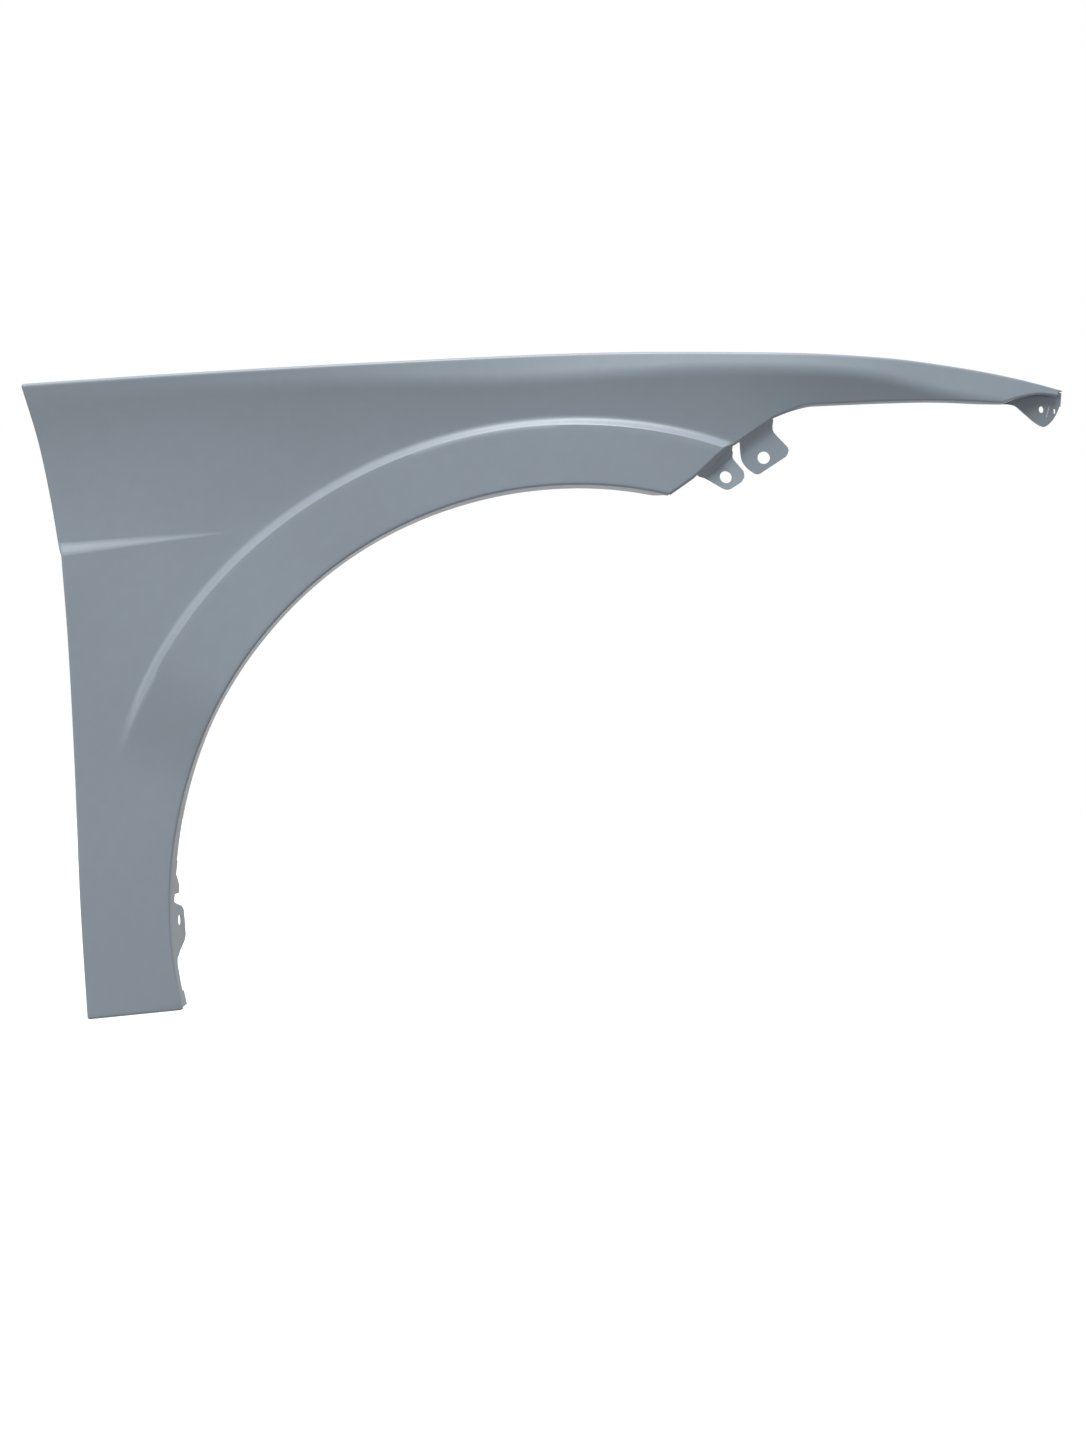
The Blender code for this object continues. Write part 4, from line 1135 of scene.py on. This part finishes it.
def facing(place, normal, along):
    """A frame at a place: Z along a face's normal, X as near to the given direction as can be."""
    normal = normal.normalized()
    along = (along - normal * along.dot(normal)).normalized()
    turned = Matrix((along, normal.cross(along), normal)).transposed().to_4x4()
    return Matrix.Translation(place) @ turned


def rail_frame(x):
    """The frame on the top edge at a station, carried straight on past the nose."""
    within = min(x, NOSE_REACH - SLOPE_STEP)
    stations = (within - SLOPE_STEP, within, within + SLOPE_STEP)
    frame = walk_rim([Vector((station, top_height(station))) for station in stations])[1]
    forward = frame.inboard.cross(frame.across)
    return frame._replace(place=frame.place + forward * (x - within) / forward.x)


def rail_seat_depth(frame):
    """From the top edge inboard to the middle of a bolt land."""
    return wall_depth(frame) + FOLD + LAND_DEPTH / 2


def rail_seat():
    """The seat of the middle bolt land: the shelf's underside, straight above the wheel's axis."""
    x = land_centres()[2]
    frame = rail_frame(x)
    place = frame.reach(0.0, rail_seat_depth(frame))
    return Vector((x, place.y, rail_height(x) - SHEET))


def only_select(thing):
    """Leaves one object selected and active."""
    bpy.ops.object.select_all(action="DESELECT")
    thing.select_set(True)
    bpy.context.view_layer.objects.active = thing


def apply_modifiers(thing):
    only_select(thing)
    for modifier in list(thing.modifiers):
        bpy.ops.object.modifier_apply(modifier=modifier.name)


def punch(matrix, width, length, depth=PUNCH_DEPTH):
    """A round punch, or one for a slot where it is longer than wide, along its matrix's Z axis."""
    bpy.ops.object.select_all(action="DESELECT")
    bpy.ops.mesh.primitive_cylinder_add(vertices=HOLE_SIDES, radius=width / 2, depth=depth)
    tool = bpy.context.active_object
    tool.data.transform(Matrix.Rotation(pi / HOLE_SIDES, 4, "Z"))
    for vert in tool.data.vertices:
        vert.co.x += (length - width) / 2 * (1 if vert.co.x > 0 else -1)
    tool.data.transform(matrix)
    return tool


def window_punch(matrix, size, depth):
    """A rectangular punch."""
    bpy.ops.object.select_all(action="DESELECT")
    bpy.ops.mesh.primitive_cube_add(size=1.0)
    tool = bpy.context.active_object
    tool.data.transform(matrix @ Matrix.Diagonal((size[0], size[1], depth, 1.0)))
    return tool


def rail_punches():
    """On each land a bolt slot and a locating hole stand either side of the land's middle."""
    tools = []
    for at in land_centres():
        for side, width, length in ((-1, LAND_HOLE, LAND_HOLE), (1, SLOT_WIDTH, SLOT_LENGTH)):
            x = at + side * LAND_HOLE_SPACING
            rim = rail_frame(x)
            place = rim.reach(0.0, rail_seat_depth(rim) + LAND_HOLES_IN)
            place.z = rail_height(x)
            tools.append(punch(facing(place, Vector((0, 0, 1)), rim.inboard), width, length))
    return tools


def nose_punches():
    """The round hole, the slit and the window in the nose tab."""
    features = (
        (NOSE_HOLE_AT, None, 0.0),
        (NOSE_SLIT_AT, NOSE_SLIT_SIZE, NOSE_SLIT_TILT),
        (NOSE_WINDOW_AT, NOSE_WINDOW_SIZE, 0.0),
    )
    tools = []
    for (x, drop), size, tilt in features:
        rim = rail_frame(x)
        rim = rail_frame(2 * x - rim.reach(0.0, wall_depth(rim)).x)
        place = rim.reach(0.0, wall_depth(rim))
        place.z = height_of(drop)
        level = Vector((rim.inboard.y, -rim.inboard.x, 0.0))
        matrix = facing(place, rim.inboard, level) @ Matrix.Rotation(radians(tilt), 4, "Z")
        if size is None:
            tools.append(punch(matrix, NOSE_HOLE, NOSE_HOLE, NOSE_PUNCH_DEPTH))
        else:
            tools.append(window_punch(matrix, size, NOSE_PUNCH_DEPTH))
    return tools


def foot_punches(layout):
    """Two sill bolt slots, lengthways across the flange under the leg."""
    along = (layout.arch_foot - layout.rear_foot).normalized()
    tools = []
    for distance in BOTTOM_SLOTS_IN:
        place = on_skin(layout.rear_foot + along * distance) + Vector((0.0, BOTTOM_SLOT_DEPTH, 0.0))
        normal = Vector((-along.y, 0.0, along.x))
        matrix = facing(place, normal, Vector((0, 1, 0)))
        tools.append(punch(matrix, BOTTOM_SLOT_WIDTH, BOTTOM_SLOT_LENGTH))
    return tools


def rear_punch():
    height = height_of(REAR_BOLT_DROP)
    edge = on_skin((rear_edge(height), height))
    place = edge + Vector((0.0, REAR_BOLT_HOLE_DEPTH, 0.0))
    matrix = facing(place, Vector((1, 0, 0)), Vector((0, 0, 1)))
    return punch(matrix, REAR_BOLT_HOLE, REAR_BOLT_HOLE, FLANGE_PUNCH_DEPTH)


def liner_punches():
    """The trimming die that leaves two tabs on the arch flange, and the lower tab's hole punch."""
    fold_depth = skin_depth(-arch_radius(LINER_DIE_ANGLE), 0.0)
    far = fold_depth + LINER_TAB_DEPTH + LINER_DIE_MARGIN
    outline = [(fold_depth + depth, z) for z, depth in LINER_TRIM]
    outline += [(far, LINER_TRIM[-1][0]), (far, LINER_TRIM[0][0])]
    mesh = bmesh.new()
    behind = -arch_radius(LINER_DIE_ANGLE) - LINER_DIE_BEHIND
    face = mesh.faces.new([mesh.verts.new((behind, y, z)) for y, z in outline])
    moved = bmesh.ops.extrude_face_region(mesh, geom=[face])["geom"]
    fresh = [item for item in moved if isinstance(item, bmesh.types.BMVert)]
    bmesh.ops.translate(mesh, verts=fresh, vec=(LINER_DIE_WIDTH, 0.0, 0.0))
    bmesh.ops.recalc_face_normals(mesh, faces=mesh.faces)
    die = object_from(mesh, "liner_trim")
    z, depth = LINER_HOLE_AT
    x = -arch_radius(LINER_HOLE_ANGLE) + depth * tan(radians(ARCH_DRAFT[-1][1]))
    matrix = facing(Vector((x, fold_depth + depth, z)), Vector((1, 0, 0)), Vector((0, 0, 1)))
    return [die, punch(matrix, LINER_HOLE, LINER_HOLE, FLANGE_PUNCH_DEPTH)]


def tab_punches(layout):
    """The bolt holes of the two joggled tabs, in line with the plates that they go through."""
    sheet = Sheet()
    folded = fold_front(sheet, walk_rim(press_skin(sheet, layout)["front"]))
    holes = [fold_tab(sheet, root, tab) for tab, root in tab_roots(folded)]
    sheet.mesh.free()
    return [punch(hole, TAB_HOLE, TAB_HOLE) for hole in holes]


def object_from(mesh, name):
    shape = bpy.data.meshes.new(name)
    mesh.to_mesh(shape)
    mesh.free()
    made = bpy.data.objects.new(name, shape)
    bpy.context.scene.collection.objects.link(made)
    return made


class Signal:
    """A shader socket that Python's own operators can do sums on."""

    def __init__(self, tree, socket):
        self.tree = tree
        self.socket = socket

    def maths(self, operation, first, second):
        node = self.tree.nodes.new("ShaderNodeMath")
        node.operation = operation
        for slot, value in zip(node.inputs, (first, second)):
            connect(self.tree, value, slot)
        return Signal(self.tree, node.outputs[0])

    def __add__(self, other):
        return self.maths("ADD", self, other)

    __radd__ = __add__

    def __mul__(self, other):
        return self.maths("MULTIPLY", self, other)

    __rmul__ = __mul__


def connect(tree, value, slot):
    if isinstance(value, Signal):
        tree.links.new(value.socket, slot)
    else:
        slot.default_value = value


class Nodes:
    """Builds a material's or the world's node tree."""

    def __init__(self, owner):
        owner.use_nodes = True
        self.tree = owner.node_tree
        self.tree.nodes.clear()

    def add(self, kind, settings=None, values=None, output=0):
        """Adds a node: its settings first, then its sockets' values or links. Gives one output."""
        node = self.tree.nodes.new(kind)
        for name, value in (settings or {}).items():
            setattr(node, name, value)
        for name, value in (values or {}).items():
            connect(self.tree, value, node.inputs[name])
        return Signal(self.tree, node.outputs[output]) if node.outputs else node

    def ramp(self, factor, low, high):
        """A smooth ramp from low to high over the middle stretch of a noise."""
        span = {"From Min": NOISE_LOW, "From Max": NOISE_HIGH, "To Min": low, "To Max": high}
        smooth = {"interpolation_type": "SMOOTHSTEP"}
        return self.add("ShaderNodeMapRange", smooth, {"Value": factor, **span})

    def noise(self, place, kind):
        scale, detail, roughness = kind
        values = {"Vector": place, "Scale": scale, "Detail": detail, "Roughness": roughness}
        return self.add("ShaderNodeTexNoise", values=values)


def primer_finish(settings):
    """Satin grey-blue primer on steel: slow drifts in tone and gloss, and a fine spray texture."""
    material = bpy.data.materials.new("primer")
    nodes = Nodes(material)
    place = nodes.add("ShaderNodeTexCoord", output="Object")
    drift = nodes.noise(place, DRIFT_NOISE)
    mottle = nodes.noise(place, MOTTLE_NOISE)
    spray = nodes.noise(place, SPRAY_NOISE)
    tone = nodes.ramp(drift * DRIFT_IN_TONE + mottle * (1 - DRIFT_IN_TONE), 0.0, 1.0)
    dark = [channel * (1 - TONE_SWING) for channel in settings.primer_colour]
    light = [min(channel * (1 + TONE_SWING), 1.0) for channel in settings.primer_colour]
    colour = nodes.add(
        "ShaderNodeMix",
        {"data_type": "RGBA"},
        {"Factor": tone, 6: (*dark, 1.0), 7: (*light, 1.0)},
        output=2,
    )
    gloss = nodes.ramp(
        mottle * (1 - DRIFT_IN_GLOSS) + drift * DRIFT_IN_GLOSS,
        settings.primer_roughness - GLOSS_SWING,
        settings.primer_roughness + GLOSS_SWING,
    )
    relief = {"Strength": SPRAY_STRENGTH, "Distance": SPRAY_HEIGHT, "Height": spray}
    bump = nodes.add("ShaderNodeBump", values=relief)
    surface = {"Base Color": colour, "Roughness": gloss, "Normal": bump}
    shader = nodes.add("ShaderNodeBsdfPrincipled", values=surface)
    nodes.add("ShaderNodeOutputMaterial", values={"Surface": shader})
    return material


def add_sun(name, strength, elevation, azimuth, spread):
    """A soft distant lamp: azimuth is counted from straight in front, positive towards the nose."""
    lamp = bpy.data.lights.new(name, "SUN")
    lamp.energy = strength
    lamp.angle = radians(spread)
    thing = bpy.data.objects.new(name, lamp)
    thing.rotation_euler = (radians(90 - elevation), 0.0, radians(azimuth))
    bpy.context.scene.collection.objects.link(thing)


def by_sight(nodes, kind, seen, unseen, output):
    """Mixes two shaders: one where the camera sees a surface itself, in a reflection or through
    glass, and one where the surface only gives light."""
    ways = ("Is Camera Ray", "Is Glossy Ray", "Is Transmission Ray")
    camera, glossy, through = (nodes.add("ShaderNodeLightPath", output=way) for way in ways)
    either = nodes.add("ShaderNodeMath", {"operation": "MAXIMUM"}, {0: camera, 1: glossy})
    sight = nodes.add("ShaderNodeMath", {"operation": "MAXIMUM"}, {0: either, 1: through})
    hidden, shown = (nodes.add(kind, values=values) for values in (unseen, seen))
    mixed = nodes.add("ShaderNodeMixShader", values={0: sight, 1: hidden, 2: shown})
    nodes.add(output, values={"Surface": mixed})


def floor_below(drop):
    bpy.ops.object.select_all(action="DESELECT")
    bpy.ops.mesh.primitive_plane_add(size=FLOOR_SIZE, location=(0.0, 0.0, -drop))
    floor = bpy.context.active_object
    floor.name = "floor"
    material = bpy.data.materials.new("pale_floor")
    pale, dim = ({"Color": (level, level, level, 1.0)} for level in (FLOOR_SEEN, FLOOR_BOUNCE))
    by_sight(Nodes(material), "ShaderNodeBsdfDiffuse", pale, dim, "ShaderNodeOutputMaterial")
    floor.data.materials.append(material)


def surround(strength):
    """White where it is seen, and a plain soft light elsewhere."""
    world = bpy.data.worlds.new("surround")
    bpy.context.scene.world = world
    white, light = ({"Color": (1.0, 1.0, 1.0, 1.0), "Strength": level} for level in (1.0, strength))
    by_sight(Nodes(world), "ShaderNodeBackground", white, light, "ShaderNodeOutputWorld")


class FenderSettings(bpy.types.PropertyGroup):
    """The panel's sheet and primer."""

    sheet: bpy.props.FloatProperty(
        name="Sheet",
        description="Thickness of the steel, laid on the inner side of the skin",
        default=SHEET,
        min=0.0004,
        unit="LENGTH",
        subtype="DISTANCE",
    )
    primer_colour: bpy.props.FloatVectorProperty(
        name="Primer colour",
        description="Grey-blue of the primer",
        default=(0.235, 0.275, 0.315),
        min=0.0,
        max=1.0,
        subtype="COLOR",
    )
    primer_roughness: bpy.props.FloatProperty(
        name="Primer roughness",
        description="Mean roughness of the satin primer",
        default=0.42,
        min=0.0,
        max=1.0,
        subtype="FACTOR",
    )


class StudioSettings(bpy.types.PropertyGroup):
    """The studio: soft lamps, a pale floor and the camera."""

    camera_distance: bpy.props.FloatProperty(
        name="Camera distance",
        description="From the flare's face to the camera",
        default=2.5,
        unit="LENGTH",
        subtype="DISTANCE",
    )
    frame_height: bpy.props.FloatProperty(
        name="Frame height",
        description="Height that the picture takes in at the flare's face",
        default=1.27424,
        unit="LENGTH",
        subtype="DISTANCE",
    )
    key_strength: bpy.props.FloatProperty(
        name="Key strength",
        description="Lamp above the shoulder",
        default=4.4,
    )
    front_strength: bpy.props.FloatProperty(
        name="Front strength",
        description="Lamp in front, towards the door",
        default=0.85,
    )
    fill_strength: bpy.props.FloatProperty(
        name="Fill strength",
        description="Light from all round",
        default=0.2,
    )
    floor_drop: bpy.props.FloatProperty(
        name="Floor drop",
        description="From the part's origin down to the floor",
        default=1.05,
        unit="LENGTH",
        subtype="DISTANCE",
    )


class FENDER_OT_press_panel(bpy.types.Operator):
    """Presses the skin and folds its flanges and tabs, as one sheet with its real thickness"""

    bl_idname = "fender.press_panel"
    bl_label = "Press Panel"

    def execute(self, context):
        settings = context.scene.fender
        layout = Layout()
        sheet = Sheet()
        rims = {name: walk_rim(rim) for name, rim in press_skin(sheet, layout).items()}
        fold_arch(sheet, rims["arch"])
        fold_foot(sheet, rims["foot"])
        fold_rear(sheet, rims["rear"])
        fold_rail(sheet, rims["top"])
        arch_front, arch_foot = rims["arch"][0], rims["arch"][-1]
        front_turn, foot_turn = 90 - ARCH_DRAFT[0][1], 90 - ARCH_DRAFT[-1][1]
        fold_corner(sheet, arch_foot, rims["foot"][0], (FOLD, FOLD), (foot_turn, 90))
        fold_corner(sheet, rims["foot"][-1], rims["rear"][0], (FOLD, FOLD), (90, 90))
        fold_corner(sheet, rims["rear"][-1], rims["top"][0], (FOLD, RAIL_FOLD), (90, 90))
        cut_end = rims["front"][-1]._replace(heading=0.0)
        fold_corner(sheet, cut_end, arch_front, (FOLD, FOLD), (CUT_TURN, front_turn))
        folded = fold_front(sheet, rims["front"])
        for tab, root in tab_roots(folded):
            fold_tab(sheet, root, tab)
        panel = object_from(sheet.mesh, "pressed_panel")
        thickness = panel.modifiers.new("Thickness", "SOLIDIFY")
        thickness.thickness = settings.sheet
        thickness.offset = -1.0
        thickness.use_even_offset = True
        apply_modifiers(panel)
        return {"FINISHED"}


class FENDER_OT_pierce_holes(bpy.types.Operator):
    """Pierces the bolt, clip and locating holes and trims the liner tabs"""

    bl_idname = "fender.pierce_holes"
    bl_label = "Pierce Holes"

    def execute(self, context):
        panel = bpy.data.objects["pressed_panel"]
        layout = Layout()
        tools = rail_punches() + nose_punches() + foot_punches(layout) + [rear_punch()]
        tools += liner_punches() + tab_punches(layout)
        punches = bpy.data.collections.new("punches")
        context.scene.collection.children.link(punches)
        for tool in tools:
            punches.objects.link(tool)
        holes = panel.modifiers.new("Holes", "BOOLEAN")
        holes.operation = "DIFFERENCE"
        holes.solver = "EXACT"
        holes.operand_type = "COLLECTION"
        holes.collection = punches
        apply_modifiers(panel)
        for tool in tools:
            bpy.data.objects.remove(tool)
        bpy.data.collections.remove(punches)
        panel.data.transform(Matrix.Translation(-rail_seat()))
        only_select(panel)
        bpy.ops.object.shade_smooth_by_angle(angle=radians(SMOOTH_BELOW))
        return {"FINISHED"}


class FENDER_OT_prime_panel(bpy.types.Operator):
    """Gives the panel its satin primer and lets it stand for the CAD panel"""

    bl_idname = "fender.prime_panel"
    bl_label = "Prime Panel"

    def execute(self, context):
        panel = bpy.data.objects["pressed_panel"]
        panel.data.materials.clear()
        panel.data.materials.append(primer_finish(context.scene.fender))
        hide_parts("fender_panel")
        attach(panel, "root")
        return {"FINISHED"}


class FENDER_OT_set_stage(bpy.types.Operator):
    """Sets the camera, the soft lamps, the pale floor and the white surround"""

    bl_idname = "fender.set_stage"
    bl_label = "Set Stage"

    def execute(self, context):
        settings = context.scene.fender_studio
        seat = rail_seat()
        camera = bpy.data.cameras.new("camera")
        camera.sensor_width = 36.0
        camera.lens = camera.sensor_width * settings.camera_distance / settings.frame_height
        stand = bpy.data.objects.new("camera", camera)
        ahead = FLARE_FACE_Y - settings.camera_distance
        stand.location = Vector((CAMERA_X, ahead, CAMERA_Z)) - seat
        stand.rotation_euler = (radians(90), 0.0, 0.0)
        context.scene.collection.objects.link(stand)
        context.scene.camera = stand
        add_sun("key", settings.key_strength, KEY_ELEVATION, KEY_AZIMUTH, KEY_SPREAD)
        add_sun("front", settings.front_strength, FRONT_ELEVATION, FRONT_AZIMUTH, FRONT_SPREAD)
        floor_below(settings.floor_drop)
        surround(settings.fill_strength)
        context.scene.view_settings.view_transform = "Standard"
        return {"FINISHED"}


class FENDER_PT_panel(bpy.types.Panel):
    """Lists the sizes, the finish and the steps in order"""

    bl_label = "Car Fender"
    bl_idname = "FENDER_PT_panel"
    bl_space_type = "VIEW_3D"
    bl_region_type = "UI"
    bl_category = "Fender"

    def draw(self, context):
        column = self.layout.column()
        for group in (context.scene.fender, context.scene.fender_studio):
            for name in group.__annotations__:
                column.prop(group, name)
        for step in STEPS:
            column.operator(step.bl_idname)


STEPS = (FENDER_OT_press_panel, FENDER_OT_pierce_holes, FENDER_OT_prime_panel, FENDER_OT_set_stage)
GROUPS = (FenderSettings, StudioSettings)


def register():
    for group in GROUPS + STEPS + (FENDER_PT_panel,):
        bpy.utils.register_class(group)
    bpy.types.Scene.fender = bpy.props.PointerProperty(type=FenderSettings)
    bpy.types.Scene.fender_studio = bpy.props.PointerProperty(type=StudioSettings)


def unregister():
    del bpy.types.Scene.fender_studio
    del bpy.types.Scene.fender
    for group in reversed(GROUPS + STEPS + (FENDER_PT_panel,)):
        bpy.utils.unregister_class(group)


def main():
    register()
    bpy.ops.fender.press_panel()
    bpy.ops.fender.pierce_holes()
    bpy.ops.fender.prime_panel()
    bpy.ops.fender.set_stage()


if __name__ == "__main__":
    main()
